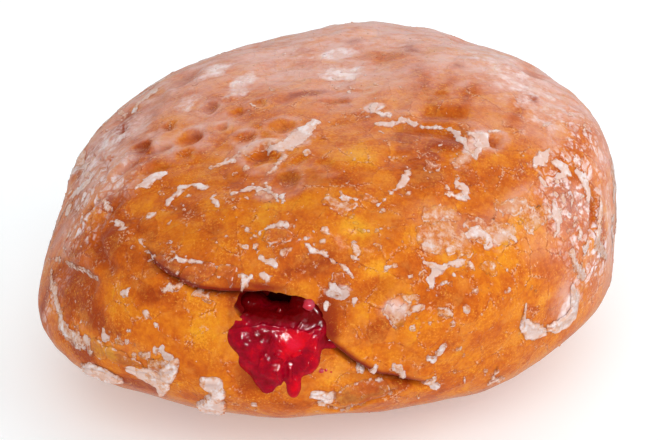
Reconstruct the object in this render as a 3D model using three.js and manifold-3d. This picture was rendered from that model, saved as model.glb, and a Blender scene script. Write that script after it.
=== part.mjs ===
// A jelly filled doughnut: a raised ball of fried, glazed dough, with a fill hole in its front
// and the jelly that wells out of it.
//
// Millimetres, +Z up. The origin is on the plane that the doughnut rests on, under the middle
// of its outline, and the fill hole faces -Y. Places on the crust are given as an azimuth in
// degrees, 0 at +X and -90 at the front, and a height above the resting plane.

import * as THREE from "three";
import { mergeVertices } from "three/addons/utils/BufferGeometryUtils.js";
import Module from "manifold-3d";

const wasm = await Module();
wasm.setup();

// ---------------------------------------------------------------- driving dimensions

const PLAN_RADIUS = 46.4; // mean radius of the bare form, seen from above
const LONG_WAY = 39; // azimuth in which the outline is longest
const OVAL = 0.036; // how oval the outline is, as a share of its radius
const THREE_SIDED = -0.022; // and how three-sided
const DEPTH_SHARE = 0.95; // front to back, against side to side
const EQUATOR = 19.6; // height of the widest line
const DOME = { rise: 25.7, fullness: 2.6 }; // above the equator; a fullness of 2 is an ellipse
const BELLY = { rise: 21, fullness: 2.6 }; // below it, cut flat by the resting plane
const WEDGE = { right: 0.18, back: 0.024 }; // the dome stands higher to the right

const HOLE = { azimuth: -100, height: 27 }; // where the filling nozzle went in
const GAP = 0.3; // clearance between the jelly and the dough

const DOUGH_DETAIL = 17; // subdivisions of the icosahedron that becomes the dough
const JELLY_DETAIL = 8; // and of the one that becomes the jelly
const CROWDING = 0.42; // how far the facets of the dough crowd towards the fill hole

// Swellings and hollows of the dough: azimuth and height of the middle, reach sideways and
// up, and how far it stands out.
const LOBES = [
  { name: "left belly", at: [-135, 17], reach: [21, 9], out: 3.1 },
  { name: "right belly", at: [-66, 24.5], reach: [17, 7], out: 1.8 },
  { name: "lower lip", at: [-84, 11], reach: [15, 5], out: 0.5 },
  { name: "tongue of the lower lip", at: [-83, 13.8], reach: [6, 2], out: 0.8 },
  { name: "brow over the hole", at: [-104, 37], reach: [22, 5], out: 1.2 },
  { name: "left waist", at: [-170, 28], reach: [12, 7], out: -2.9 },
  { name: "left heel", at: [-156, 11.7], reach: [13, 8], out: 3.2 },
  { name: "right shoulder", at: [2, 38.8], reach: [16, 7], out: 1.6 },
  { name: "left shoulder", at: [170, 38.5], reach: [16, 7], out: 1 },
  { name: "front heel", at: [-100, 4], reach: [14, 4.5], out: -0.9 },
];

// Folds of the crust as routes of azimuth and height. The valley has a depth and a half
// width, its sides are drawn together by the pinch, and the crust above it swells by the
// brow and hangs over it by the sag. A slit, where there is one, is cut into its bottom.
const CREASES = [
  {
    name: "upper fold, left of the hole",
    route: [[-142, 35.2], [-134, 33.6], [-127, 32.3], [-119, 31.2], [-112, 30.9], [-104, 31]],
    depth: 2.4,
    width: 2.6,
    pinch: 0.3,
    brow: 1.4,
    sag: 0.8,
    slit: { deep: 2.2, high: 0.9 },
  },
  {
    name: "upper fold, right of the hole",
    route: [[-95, 30], [-87, 30.8], [-78, 32.7], [-68, 33.5], [-58, 32.2], [-46, 29.4]],
    depth: 1.2,
    width: 3,
    pinch: 0.2,
    brow: 0.7,
    sag: 0.3,
  },
  {
    name: "lower fold, right of the hole",
    route: [[-93, 25.6], [-88, 22.3], [-83, 19.5], [-77, 17.2], [-71, 15], [-65, 12]],
    depth: 2,
    width: 2.4,
    pinch: 0.3,
    brow: 1,
    sag: 0.5,
    slit: { deep: 1.8, high: 0.7 },
  },
  {
    name: "fold under the left belly",
    route: [[-106, 21.5], [-109, 17.5], [-112.5, 13], [-117, 8.5]],
    depth: 1.3,
    width: 2.6,
    pinch: 0.2,
    brow: 0.3,
    sag: 0,
  },
  {
    name: "fold over the left belly",
    route: [[-168, 20], [-158, 24], [-147, 26.9], [-137, 27.6]],
    depth: 1,
    width: 3,
    pinch: 0.1,
    brow: 0.5,
    sag: 0,
  },
  {
    name: "short fold on the left",
    route: [[-149, 32.4], [-144, 30.6], [-138, 29]],
    depth: 0.9,
    width: 2.4,
    pinch: 0.1,
    brow: 0.3,
    sag: 0,
  },
  {
    name: "fold under the tongue",
    route: [[-93, 11.6], [-86, 10.4], [-78, 11.4], [-72, 13.8]],
    depth: 0.8,
    width: 2.2,
    pinch: 0.2,
    brow: 0.3,
    sag: 0,
  },
  {
    name: "wrinkle on the dome",
    route: [[-64, 44.6], [-52, 44.6], [-45, 44.2], [-42, 43.2]],
    depth: 0.9,
    width: 2.8,
    pinch: 0,
    brow: 0.3,
    sag: 0,
  },
];

// Round dimples in the dome: azimuth, height, radius and depth.
const DIMPLES = [
  [173, 36, 3.4, 1], [-164, 38.8, 3, 1], [-168, 35.7, 2.6, 0.8], [180, 39.4, 2.6, 0.7],
  [-156, 41.3, 3.2, 0.9], [-175, 42.6, 2.6, 0.7], [-154, 38.6, 2.6, 0.7], [-152, 42.8, 2.4, 0.7],
  [-138, 42.9, 2.8, 0.8], [-141, 40.3, 2.6, 0.7], [-124, 42.8, 3, 0.9], [-127, 44.5, 2.6, 0.6],
  [-106, 42.2, 2.8, 0.8], [-31, 44.1, 2.4, 1], [-49, 43.8, 3.6, 0.7],
];

// Slow unevenness of the dough, as crossed waves.
const WAVES = [
  { along: [0.8, 0.5, 0.4], length: 31, height: 0.34, phase: 0.4 },
  { along: [-0.4, 0.8, 0.5], length: 23, height: 0.28, phase: 2.1 },
  { along: [0.3, -0.4, 0.9], length: 19, height: 0.24, phase: 4.4 },
  { along: [0.9, -0.3, -0.5], length: 14, height: 0.16, phase: 1.3 },
];

// The mouth of the fill hole, a slot under the brow: right, out and height of its middle,
// its half sizes, and how far it drops to the right.
const MOUTH = { at: [0.6, -1.8, 28.7], half: [7, 5.6, 2.6], drop: 7 };

// Lumps of the jelly that has welled out: right, out and height of the middle, and radii.
const LUMPS = [
  { name: "core", at: [-0.8, -1, 24], radii: [6.3, 4.2, 3.8] },
  { name: "left cheek", at: [-6.9, -0.9, 24.4], radii: [3.1, 3.2, 3.2] },
  { name: "right cheek", at: [3.7, -1.4, 25], radii: [3, 3.3, 3] },
  { name: "left crest", at: [-4.8, -1.4, 26.7], radii: [3.6, 2.8, 1.7] },
  { name: "right crest", at: [3, -1.8, 27], radii: [3.3, 2.8, 1.6] },
  { name: "left shelf", at: [-5.2, -3.4, 28.2], radii: [2, 2.4, 1.8] },
  { name: "right shelf", at: [3.8, -3.4, 28.1], radii: [3, 2.4, 1.7] },
  { name: "left flank", at: [-5.2, 0.4, 21], radii: [3, 2.2, 3] },
  { name: "chin", at: [-1.2, 0.5, 19.4], radii: [4.4, 2.5, 3.5] },
  { name: "right flank", at: [2.6, 0.1, 20.8], radii: [2.4, 2.1, 2.7] },
  { name: "left drip", at: [-2.2, 1.1, 16.4], radii: [2.4, 1.5, 2.4] },
  { name: "right drip", at: [1.6, 1.2, 16.6], radii: [1.3, 1.3, 2.9] },
  { name: "strand in the fold", at: [6.4, -1.4, 22.8], radii: [1.6, 1.2, 0.9] },
];
const LUMP_BLEND = 2.7; // how sharply the field of a lump falls off: lower is rounder
const POCKET = { middle: [0, 0, 22], radii: [24, 21, 9] }; // the filling inside the dough
const CHANNEL = { radius: 4.6, inset: 6 }; // left by the nozzle, from the hole to the pocket

// Plates of set glaze that stand on the crust: azimuth, height, half length, half width, and
// the turn of the length from level.
const PLATES = [
  { name: "over the left fold", at: [-121, 33.8], half: [3, 1.2], turn: -12 },
  { name: "beside the mouth", at: [-115, 33.2], half: [3, 1.4], turn: 6 },
  { name: "over the mouth, left", at: [-108.4, 33.4], half: [1.8, 1.3], turn: -20 },
  { name: "over the mouth, right", at: [-90, 32.6], half: [2, 1.3], turn: 10 },
  { name: "drip, far left", at: [-127, 12.6], half: [3.4, 1.3], turn: 12 },
  { name: "drip, left", at: [-119.5, 14.4], half: [3, 1.6], turn: -25 },
  { name: "drip, middle", at: [-113, 11.6], half: [2, 2], turn: 40 },
  { name: "right belly, large", at: [-41, 18.4], half: [3.2, 2.2], turn: 30 },
  { name: "right belly, corner", at: [-37, 20.6], half: [2, 3.2], turn: -20 },
  { name: "right belly, small", at: [-66.5, 12.6], half: [1.5, 0.9], turn: 20 },
  { name: "right brow", at: [-67, 34.6], half: [2.6, 0.8], turn: 0 },
  { name: "right brow, leg", at: [-71, 33.4], half: [0.8, 1.4], turn: 0 },
  { name: "dome, long streak", at: [-118, 43.6], half: [4.6, 1.9], turn: 52 },
  { name: "dome, left streak", at: [-147, 40.4], half: [3, 1.5], turn: 30 },
  { name: "dome, front", at: [-124, 39.6], half: [2.4, 0.9], turn: 35 },
  { name: "dome, right flake", at: [-53, 41], half: [1.7, 1.2], turn: 60 },
  { name: "dome, right corner", at: [-38, 43.8], half: [2.6, 1.6], turn: -40 },
];
const PLATE_PROUD = 0.4; // how far a plate stands out of the crust
const PLATE_ROOT = 0.7; // and how deep it is rooted in it
// Smaller flakes, scattered over these heights, with half lengths in this range.
const FLAKES = { count: 36, size: [0.9, 1.9], heights: [9, 43], turn: 137.508, seed: 11 };

// ---------------------------------------------------------------- the bare form

const radians = THREE.MathUtils.degToRad;
const bell = (x, width) => Math.exp(-((x / width) ** 2));
const heart = new THREE.Vector3(0, 0, EQUATOR);

function planRadius(azimuth) {
  const turned = azimuth - radians(LONG_WAY);
  return PLAN_RADIUS * (1 + OVAL * Math.cos(2 * turned) + THREE_SIDED * Math.cos(3 * turned));
}

// The point of the bare form in a direction from its heart: a super-ellipse in profile.
function formPoint(direction) {
  const d = direction.clone().normalize();
  const half = d.z > 0 ? DOME : BELLY;
  const across = Math.hypot(d.x, d.y) / planRadius(Math.atan2(d.y, d.x));
  const up = Math.abs(d.z) / half.rise;
  const p = d.multiplyScalar((across ** half.fullness + up ** half.fullness) ** (-1 / half.fullness));
  if (p.z > 0) p.z *= 1 + (WEDGE.right * p.x + WEDGE.back * p.y) / PLAN_RADIUS;
  return new THREE.Vector3(p.x, p.y * DEPTH_SHARE, p.z + EQUATOR);
}

// The direction in which the bare form has this azimuth and height, by halving the polar angle.
function directionTo(azimuth, height) {
  const a = radians(azimuth);
  const turn = Math.atan2(Math.sin(a) / DEPTH_SHARE, Math.cos(a));
  const direction = new THREE.Vector3();
  let low = 0;
  let high = Math.PI;
  for (let i = 0; i < 30; i++) {
    const polar = (low + high) / 2;
    direction.set(Math.cos(turn), Math.sin(turn), 0).multiplyScalar(Math.sin(polar));
    direction.z = Math.cos(polar);
    if (formPoint(direction).z > height) low = polar;
    else high = polar;
  }
  return direction;
}

const onForm = (azimuth, height) => formPoint(directionTo(azimuth, height));

// ---------------------------------------------------------------- relief of the crust

const lobes = LOBES.map((lobe) => ({ ...lobe, middle: onForm(...lobe.at) }));

const creases = CREASES.map((crease) => {
  const points = crease.route.map(([azimuth, height]) => onForm(azimuth, height));
  return { ...crease, line: new THREE.CatmullRomCurve3(points).getPoints(24) };
});

const dimples = DIMPLES.map(([azimuth, height, radius, depth]) => ({
  middle: onForm(azimuth, height),
  radius,
  depth,
}));

// The foot of a point on a line of points, how far off it is, and where along the line, 0 to 1.
function nearestOn(line, point) {
  const segment = new THREE.Line3();
  const foot = new THREE.Vector3();
  const best = { distance: Infinity, along: 0, foot: new THREE.Vector3() };
  for (let i = 0; i + 1 < line.length; i++) {
    segment.set(line[i], line[i + 1]);
    const share = segment.closestPointToPointParameter(point, true);
    segment.at(share, foot);
    const distance = foot.distanceTo(point);
    if (distance < best.distance) {
      best.distance = distance;
      best.along = (i + share) / (line.length - 1);
      best.foot.copy(foot);
    }
  }
  return best;
}

function lobeRelief(p) {
  let out = 0;
  for (const lobe of lobes) {
    const side = Math.hypot(p.x - lobe.middle.x, p.y - lobe.middle.y);
    out += lobe.out * bell(side, lobe.reach[0]) * bell(p.z - lobe.middle.z, lobe.reach[1]);
  }
  return out;
}

function dimpleRelief(p) {
  let out = 0;
  for (const { middle, radius, depth } of dimples) {
    const distance = middle.distanceTo(p);
    out -= depth * bell(distance, 0.7 * radius);
    out += 0.3 * depth * bell(distance - 1.2 * radius, 0.5 * radius);
  }
  return out;
}

function waveRelief(p) {
  let out = 0;
  for (const { along, length, height, phase } of WAVES) {
    const step = p.x * along[0] + p.y * along[1] + p.z * along[2];
    out += height * Math.sin((2 * Math.PI * step) / length + phase);
  }
  return out;
}

// What the creases do to a point of the form: how far it moves out, and where it is drawn to.
function creaseMove(p) {
  const move = { out: 0, shift: new THREE.Vector3() };
  for (const { line, depth, width, pinch, brow, sag } of creases) {
    const { distance, along, foot } = nearestOn(line, p);
    if (distance > 5 * width) continue;
    const fade = Math.min(1, 5 * along, 5 * (1 - along));
    const above = THREE.MathUtils.smoothstep(p.z - foot.z, -0.5, 1);
    const roll = bell(distance - 2 * width, 1.4 * width);
    move.out -= depth * fade * bell(distance, width);
    move.out += brow * fade * roll * (0.4 + 0.6 * above);
    move.shift.addScaledVector(foot.sub(p), pinch * fade * bell(distance, 1.3 * width));
    move.shift.z -= sag * fade * above * roll;
  }
  return move;
}

// The finished crust in a direction from the heart of the form.
function crustPoint(direction) {
  const p = formPoint(direction);
  const crease = creaseMove(p);
  const relief = lobeRelief(p) + dimpleRelief(p) + waveRelief(p) + crease.out;
  p.addScaledVector(p.clone().sub(heart).normalize(), relief).add(crease.shift);
  p.z = Math.max(p.z, 0);
  return p;
}

const directionOf = (p) => new THREE.Vector3(p.x, p.y / DEPTH_SHARE, p.z - EQUATOR);

// ---------------------------------------------------------------- meshes and solids

const bare = (geometry) => {
  geometry.deleteAttribute("normal");
  geometry.deleteAttribute("uv");
  return mergeVertices(geometry, 1e-4);
};

// A ball of even facets whose vertices are moved to wherever place() puts them.
function shapedBall(detail, place) {
  const ball = bare(new THREE.IcosahedronGeometry(1, detail));
  const position = ball.getAttribute("position");
  const direction = new THREE.Vector3();
  for (let i = 0; i < position.count; i++) {
    const p = place(direction.fromBufferAttribute(position, i).normalize());
    position.setXYZ(i, p.x, p.y, p.z);
  }
  return ball;
}

// A closed geometry as a manifold-3d solid, and back.
function toSolid(geometry) {
  const merged = bare(geometry);
  return new wasm.Manifold(
    new wasm.Mesh({
      numProp: 3,
      vertProperties: merged.getAttribute("position").array,
      triVerts: new Uint32Array(merged.index.array),
    }),
  );
}

function toGeometry(solid) {
  const { vertProperties, triVerts } = solid.getMesh();
  const geometry = new THREE.BufferGeometry();
  geometry.setAttribute("position", new THREE.BufferAttribute(vertProperties, 3));
  geometry.setIndex(new THREE.BufferAttribute(triVerts, 1));
  geometry.computeVertexNormals();
  return geometry;
}

// ---------------------------------------------------------------- jelly

// The frame at the fill hole: right and out are level, and up is +Z.
const holeAzimuth = radians(HOLE.azimuth);
const holeOut = new THREE.Vector3(Math.cos(holeAzimuth), Math.sin(holeAzimuth), 0);
const holeRight = new THREE.Vector3(-holeOut.y, holeOut.x, 0);
const holePoint = onForm(HOLE.azimuth, HOLE.height);

const atHole = (right, out, height) =>
  holePoint.clone().addScaledVector(holeRight, right).addScaledVector(holeOut, out).setZ(height);

const lumps = LUMPS.map(({ at, radii }) => ({ middle: atHole(...at), radii }));

// One smooth skin covers all the lumps: it lies where their fields add up to one.
function lumpField(p, grow) {
  let field = 0;
  for (const { middle, radii } of lumps) {
    const from = p.clone().sub(middle);
    const right = from.dot(holeRight) / (radii[0] + grow);
    const out = from.dot(holeOut) / (radii[1] + grow);
    const up = from.z / (radii[2] + grow);
    field += Math.exp(LUMP_BLEND * (1 - (right ** 2 + out ** 2 + up ** 2)));
  }
  return field;
}

function welledJelly(grow) {
  const middle = atHole(0, -1, 22.5);
  const at = (direction, reach) => middle.clone().addScaledVector(direction, reach);
  return shapedBall(JELLY_DETAIL, (direction) => {
    let outside = 16;
    while (lumpField(at(direction, outside - 0.25), grow) < 1) outside -= 0.25;
    let inside = outside - 0.25;
    for (let i = 0; i < 12; i++) {
      const reach = (inside + outside) / 2;
      if (lumpField(at(direction, reach), grow) < 1) outside = reach;
      else inside = reach;
    }
    return at(direction, inside);
  });
}

function pocket(grow) {
  const geometry = new THREE.SphereGeometry(1, 20, 10);
  geometry.rotateX(Math.PI / 2);
  geometry.scale(...POCKET.radii.map((radius) => radius + grow));
  return geometry.translate(...POCKET.middle);
}

function channel(grow) {
  const start = new THREE.Vector3(...POCKET.middle);
  const end = atHole(0, -CHANNEL.inset, HOLE.height - 2);
  const along = end.clone().sub(start);
  const geometry = new THREE.CapsuleGeometry(CHANNEL.radius + grow, along.length(), 3, 12);
  const upright = new THREE.Vector3(0, 1, 0);
  const turn = new THREE.Quaternion().setFromUnitVectors(upright, along.clone().normalize());
  geometry.applyQuaternion(turn);
  return geometry.translate(...start.addScaledVector(along, 0.5).toArray());
}

function jellySolid(grow) {
  return toSolid(welledJelly(grow)).add(toSolid(pocket(grow))).add(toSolid(channel(grow)));
}

// ---------------------------------------------------------------- dough

function mouthSolid() {
  const geometry = new THREE.SphereGeometry(1, 20, 10);
  geometry.rotateX(Math.PI / 2);
  geometry.scale(...MOUTH.half);
  geometry.rotateY(radians(MOUTH.drop));
  geometry.rotateZ(Math.atan2(holeRight.y, holeRight.x));
  return toSolid(geometry.translate(...atHole(...MOUTH.at).toArray()));
}

// A flat spindle bent along the bottom of a fold.
function slitSolid({ line, slit }) {
  const curve = new THREE.CatmullRomCurve3(line.map((p) => crustPoint(directionOf(p))));
  const geometry = bare(new THREE.SphereGeometry(1, 8, 20));
  const position = geometry.getAttribute("position");
  const onBall = new THREE.Vector3();
  for (let i = 0; i < position.count; i++) {
    onBall.fromBufferAttribute(position, i);
    const p = curve.getPointAt(Math.acos(THREE.MathUtils.clamp(onBall.y, -1, 1)) / Math.PI);
    const inward = heart.clone().sub(p).setZ(0).normalize();
    p.addScaledVector(inward, slit.deep * onBall.x);
    p.z += slit.high * onBall.z;
    position.setXYZ(i, p.x, p.y, p.z);
  }
  return toSolid(geometry);
}

// A number from 0 to 1 that depends only on its seed, so that every build is the same.
function drawer(seed) {
  let state = seed;
  return () => {
    state = (state * 1664525 + 1013904223) % 4294967296;
    return state / 4294967296;
  };
}

// A thin uneven hexagon of set glaze, lying on the crust with its root in the dough.
function plateSolid(azimuth, height, halfLength, halfWidth, turn, draw) {
  const direction = directionTo(azimuth, height);
  const foot = crustPoint(direction);
  const level = new THREE.Vector3(0, 0, 1).cross(direction).normalize();
  const rising = direction.clone().cross(level).normalize();
  const step = 0.02;
  const beside = crustPoint(direction.clone().addScaledVector(level, step)).sub(foot);
  const over = crustPoint(direction.clone().addScaledVector(rising, step)).sub(foot);
  const normal = beside.clone().cross(over).normalize();
  const side = beside.normalize();
  const up = normal.clone().cross(side);

  const thickness = PLATE_PROUD + PLATE_ROOT;
  const geometry = bare(new THREE.CylinderGeometry(0.85, 1, thickness, 6));
  const position = geometry.getAttribute("position");
  for (let i = 0; i < position.count; i++) {
    const bulge = 0.8 + 0.4 * draw();
    position.setX(i, position.getX(i) * halfLength * bulge);
    position.setZ(i, position.getZ(i) * halfWidth * bulge);
  }
  geometry.rotateY(radians(turn));
  geometry.translate(0, PLATE_PROUD - thickness / 2, 0);
  geometry.applyMatrix4(new THREE.Matrix4().makeBasis(side, normal, up.negate()));
  return toSolid(geometry.translate(...foot.toArray()));
}

function glazePlates() {
  const draw = drawer(FLAKES.seed);
  const plates = PLATES.map(({ at, half, turn }) => plateSolid(...at, ...half, turn, draw));
  const [least, most] = FLAKES.size;
  const [low, high] = FLAKES.heights;
  for (let i = 0; i < FLAKES.count; i++) {
    const azimuth = i * FLAKES.turn;
    const height = low + (high - low) * draw();
    const length = least + (most - least) * draw();
    const width = length * (0.5 + 0.4 * draw());
    plates.push(plateSolid(azimuth, height, length, width, 180 * draw(), draw));
  }
  return plates;
}

function doughSolid() {
  const crowd = holePoint.clone().sub(heart).normalize().multiplyScalar(CROWDING);
  const crust = shapedBall(DOUGH_DETAIL, (direction) => crustPoint(direction.add(crowd)));
  let dough = toSolid(crust);
  for (const plate of glazePlates()) dough = dough.add(plate);
  for (const crease of creases.filter(({ slit }) => slit)) dough = dough.subtract(slitSolid(crease));
  return dough.subtract(mouthSolid()).subtract(jellySolid(GAP));
}

// ---------------------------------------------------------------- the doughnut

function named(name, solid, color, roughness) {
  const material = new THREE.MeshStandardMaterial({ color, roughness, metalness: 0 });
  const mesh = new THREE.Mesh(toGeometry(solid), material);
  mesh.name = name;
  return mesh;
}

const doughnut = new THREE.Group();
doughnut.add(named("dough", doughSolid(), 0xd98a3e, 0.45));
doughnut.add(named("jelly", jellySolid(0), 0xa3061f, 0.1));

// The middle of the outline goes over the origin.
const middle = new THREE.Box3().setFromObject(doughnut, true).getCenter(new THREE.Vector3());
for (const mesh of doughnut.children) mesh.position.set(-middle.x, -middle.y, 0);

export default doughnut;
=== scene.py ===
# A jelly filled doughnut on a white surface: a glazed ball of fried dough with red jelly
# welling out of the fill hole in its front.
#
# Sizes are in millimetres and become metres when a mesh is written. Places on the front are a
# column and a row of the camera's picture; elsewhere they are an azimuth in degrees, 0 at +X and
# -90 at the front, and a height above the surface.

import functools
import math

import bmesh
import bpy
import numpy as np
from mathutils import Matrix, Vector
from mathutils.bvhtree import BVHTree


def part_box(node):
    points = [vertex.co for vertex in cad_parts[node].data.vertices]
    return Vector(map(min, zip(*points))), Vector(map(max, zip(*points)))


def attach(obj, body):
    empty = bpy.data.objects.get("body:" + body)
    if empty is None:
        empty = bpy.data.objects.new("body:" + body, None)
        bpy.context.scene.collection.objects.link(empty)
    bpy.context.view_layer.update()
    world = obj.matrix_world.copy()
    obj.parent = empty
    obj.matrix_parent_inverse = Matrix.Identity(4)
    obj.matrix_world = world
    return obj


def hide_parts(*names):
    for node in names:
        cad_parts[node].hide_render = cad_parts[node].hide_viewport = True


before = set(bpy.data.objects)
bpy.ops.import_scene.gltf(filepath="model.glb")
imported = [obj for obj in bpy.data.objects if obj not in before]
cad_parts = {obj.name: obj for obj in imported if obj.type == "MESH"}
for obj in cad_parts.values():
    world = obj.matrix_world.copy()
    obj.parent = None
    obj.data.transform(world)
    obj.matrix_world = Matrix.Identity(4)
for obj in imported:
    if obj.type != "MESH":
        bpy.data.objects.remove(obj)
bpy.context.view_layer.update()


# ------------------------------------------------------------------ dough
# The real piece is one ball of raised dough, proved, fried and glazed while warm. Its form is a
# lopsided super-ellipse with swellings, folds and dimples, cut by the mouth of the fill hole.

MM = 0.001
PLAN_RADIUS = 46.4
LONG_WAY = 39
OVAL = 0.036
THREE_SIDED = -0.022
DEPTH_SHARE = 0.95
EQUATOR = 19.6
DOME_RISE, BELLY_RISE, FULLNESS = 25.7, 21, 2.6
WEDGE_RIGHT, WEDGE_BACK = 0.18, 0.024
HEART = np.array([0, 0, EQUATOR])

HOLE_AZIMUTH, HOLE_HEIGHT = -100, 27

# azimuth, height, reach sideways, reach up, how far it stands out
LOBES = {
    "left belly": (-135, 17, 21, 9, 3.1),
    "right belly": (-66, 24.5, 17, 7, 1.8),
    "lower lip": (-84, 11, 15, 5, 0.5),
    "tongue of the lower lip": (-83, 13.8, 6, 2, 0.8),
    "brow over the hole": (-104, 37, 22, 5, 1.2),
    "left waist": (-170, 28, 12, 7, -2.9),
    "left heel": (-156, 11.7, 13, 8, 3.2),
    "right shoulder": (2, 38.8, 16, 7, 1.6),
    "left shoulder": (170, 38.5, 16, 7, 1),
    "front heel": (-100, 4, 14, 4.5, -0.9),
}

# The camera looks down on the front, and places there are columns and rows of its picture.
PICTURE = (660, 440)
FOCAL_LENGTH = 2510
CAMERA_ELEVATION = 30
CAMERA_DISTANCE = 420
CAMERA_AIM = (-0.6, 0, 20.5)
POINTS_PER_MM = FOCAL_LENGTH / CAMERA_DISTANCE

camera_tilt = math.radians(CAMERA_ELEVATION)
camera_back = Vector((0, -math.cos(camera_tilt), math.sin(camera_tilt)))
camera_up = np.array([0, math.sin(camera_tilt), math.cos(camera_tilt)])
camera_turn = camera_back.to_track_quat("Z", "Y")
camera_place = Vector(CAMERA_AIM) + camera_back * CAMERA_DISTANCE

# route of columns and rows, then depth, half width, brow above, lip below and overhang in mm
CREASES = {
    "upper fold, left of the hole": (
        [(139, 239), (146, 250), (155, 261), (166, 270), (181, 279), (198, 287), (222, 290),
         (243, 291), (262, 293), (280, 296)],
        2.2, 0.6, 0.6, 0.2, 1.0,
    ),
    "upper fold, right of the hole": (
        [(300, 298), (322, 300), (345, 301), (365, 294), (388, 286), (410, 284)],
        0.6, 1.8, 0.4, 0, 0.3,
    ),
    "lower fold, right of the hole": (
        [(306, 326), (320, 336), (333, 345), (345, 353), (358, 362), (375, 371), (390, 374),
         (405, 377), (425, 383), (440, 386)],
        2.1, 0.7, 0.6, 0.2, 1.0,
    ),
    "fold under the left belly": (
        [(236, 355), (246, 372), (255, 386), (262, 399)],
        1.1, 2, 0.3, 0.2, 0,
    ),
    "fold over the left belly": (
        [(96, 236), (99, 249), (106, 263), (118, 273)],
        1.0, 1.1, 0.4, 0, 0.3,
    ),
    "fold by the shoulder line": (
        [(52, 264), (70, 270), (88, 280), (100, 290)],
        0.8, 1.3, 0.4, 0, 0.2,
    ),
    "wrinkle over the plate": (
        [(134, 179), (148, 172), (160, 168), (172, 166)],
        0.6, 0.7, 0.3, 0, 0.2,
    ),
    "wrinkle left of it": (
        [(110, 184), (120, 174), (131, 166), (141, 161)],
        0.6, 0.8, 0.3, 0, 0.2,
    ),
    "wrinkle above them": (
        [(142, 158), (153, 152), (165, 147), (178, 144)],
        0.6, 0.8, 0.3, 0, 0.2,
    ),
    "wrinkle before the dome": (
        [(323, 103), (334, 101), (345, 102), (354, 106)],
        0.4, 0.8, 0.2, 0, 0.2,
    ),
    "fold under the tongue": (
        [(318, 401), (334, 408), (350, 407), (368, 400), (388, 394), (403, 387)],
        0.8, 0.8, 0.4, 0.1, 0.3,
    ),
    "fold over the tongue": (
        [(330, 381), (350, 377), (370, 379), (392, 384)],
        0.5, 0.9, 0.1, 0.3, 0,
    ),
    "wrinkle on the dome": (
        [(380, 131), (400, 128), (420, 131), (440, 134), (458, 139), (466, 150)],
        0.6, 1.2, 0.6, 0, 0.3,
    ),
    "wrinkle above the ridge": (
        [(412, 121), (430, 117), (450, 116), (476, 120)],
        0.6, 1.3, 0.3, 0, 0,
    ),
    "wrinkle at the left edge": (
        [(106, 198), (97, 204), (88, 212), (80, 220), (74, 228)],
        0.7, 0.6, 0.3, 0, 0.3,
    ),
    "wrinkle on the left shoulder": (
        [(95, 154), (103, 162), (106, 172), (104, 186)],
        0.6, 0.6, 0.3, 0, 0.2,
    ),
    "wrinkle by the left dash": (
        [(125, 195), (118, 203), (112, 210), (108, 220)],
        0.6, 0.6, 0.3, 0, 0.2,
    ),
    "curl at the right edge": (
        [(592, 185), (594, 205), (592, 225), (588, 240)],
        0.7, 0.9, 0.3, 0.3, 0,
    ),
}

# column, row, radius in picture points, depth in mm
DIMPLES = [
    (142, 148, 12, 1.2), (124, 129, 10, 1.1), (192, 138, 14, 1.1), (246, 138, 10, 0.7),
    (262, 157, 15, 1.1), (282, 126, 11, 0.8), (168, 128, 8, 0.8), (108, 162, 9, 0.9),
    (210, 108, 10, 0.6), (224, 128, 7, 0.6), (184, 156, 9, 0.6), (494, 140, 9, 1.4),
    (328, 166, 9, 0.4), (300, 162, 8, 0.4), (286, 181, 13, 0.6), (92, 158, 8, 0.9),
    (236, 113, 8, 0.4), (258, 104, 8, 0.4), (440, 97, 9, 0.2), (100, 222, 8, 0.6),
    (424, 79, 8, 0.2), (534, 100, 5, 0.6), (572, 112, 8, 0.5),
]

# azimuth, height, radius and depth in mm
DIMPLES_BEHIND = [
    (168, 36, 3, 1), (152, 40, 3.4, 0.9), (138, 34, 2.8, 0.8), (120, 41, 3, 0.8),
    (101, 37, 3, 0.8), (84, 42, 3.2, 0.7), (66, 38, 2.8, 0.9), (47, 43, 3, 0.7),
    (33, 37, 2.6, 0.9), (18, 43, 3.2, 0.8), (12, 30, 2.8, 0.6), (158, 26, 3, 0.6),
    (74, 28, 3.4, 0.6), (112, 22, 4, 0.6), (178, 30, 2.8, 0.8),
]

# direction of travel, wavelength, height, phase
WAVES = [
    ((0.8, 0.5, 0.4), 31, 0.34, 0.4), ((-0.4, 0.8, 0.5), 23, 0.28, 2.1),
    ((0.3, -0.4, 0.9), 19, 0.24, 4.4), ((0.9, -0.3, -0.5), 14, 0.16, 1.3),
]

# size and height of the skin's unevenness, and how much higher on the dome and at the left
UNEVENNESS = [(9, 0.16, 0, 0), (4.6, 0.08, 0.12, 0.1), (2.1, 0.035, 0.04, 0.05), (1.1, 0.018, 0, 0)]

# The crust's squares are crowded towards the hole, and halved close to it, a little to its right.
CUBE_CUTS = 95
CROWDING = 0.34
HALVED_REACH, HALVED_SHIFT = 21.08, 4

# How places are found: halvings of an angle, reach and step of a search along the camera's ray,
# and rounds and share of each correction from the crust back to the bare form.
HALVINGS = 30
SEARCH_REACH, SEARCH_STEP, COARSE_STEP = 60, 0.25, 2
CORRECTIONS, CORRECTION_SHARE = 8, 0.7
FOLD_STEPS, FOLD_FADE = 40, 0.25
CRUST_HALF = np.array([46, 44, 25])


def bell(x, width):
    return np.exp(-((x / width) ** 2))


def smooth(x, low, high):
    t = np.clip((x - low) / (high - low), 0, 1)
    return t * t * (3 - 2 * t)


def unit(v):
    return v / np.linalg.norm(v, axis=-1, keepdims=True)


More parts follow.
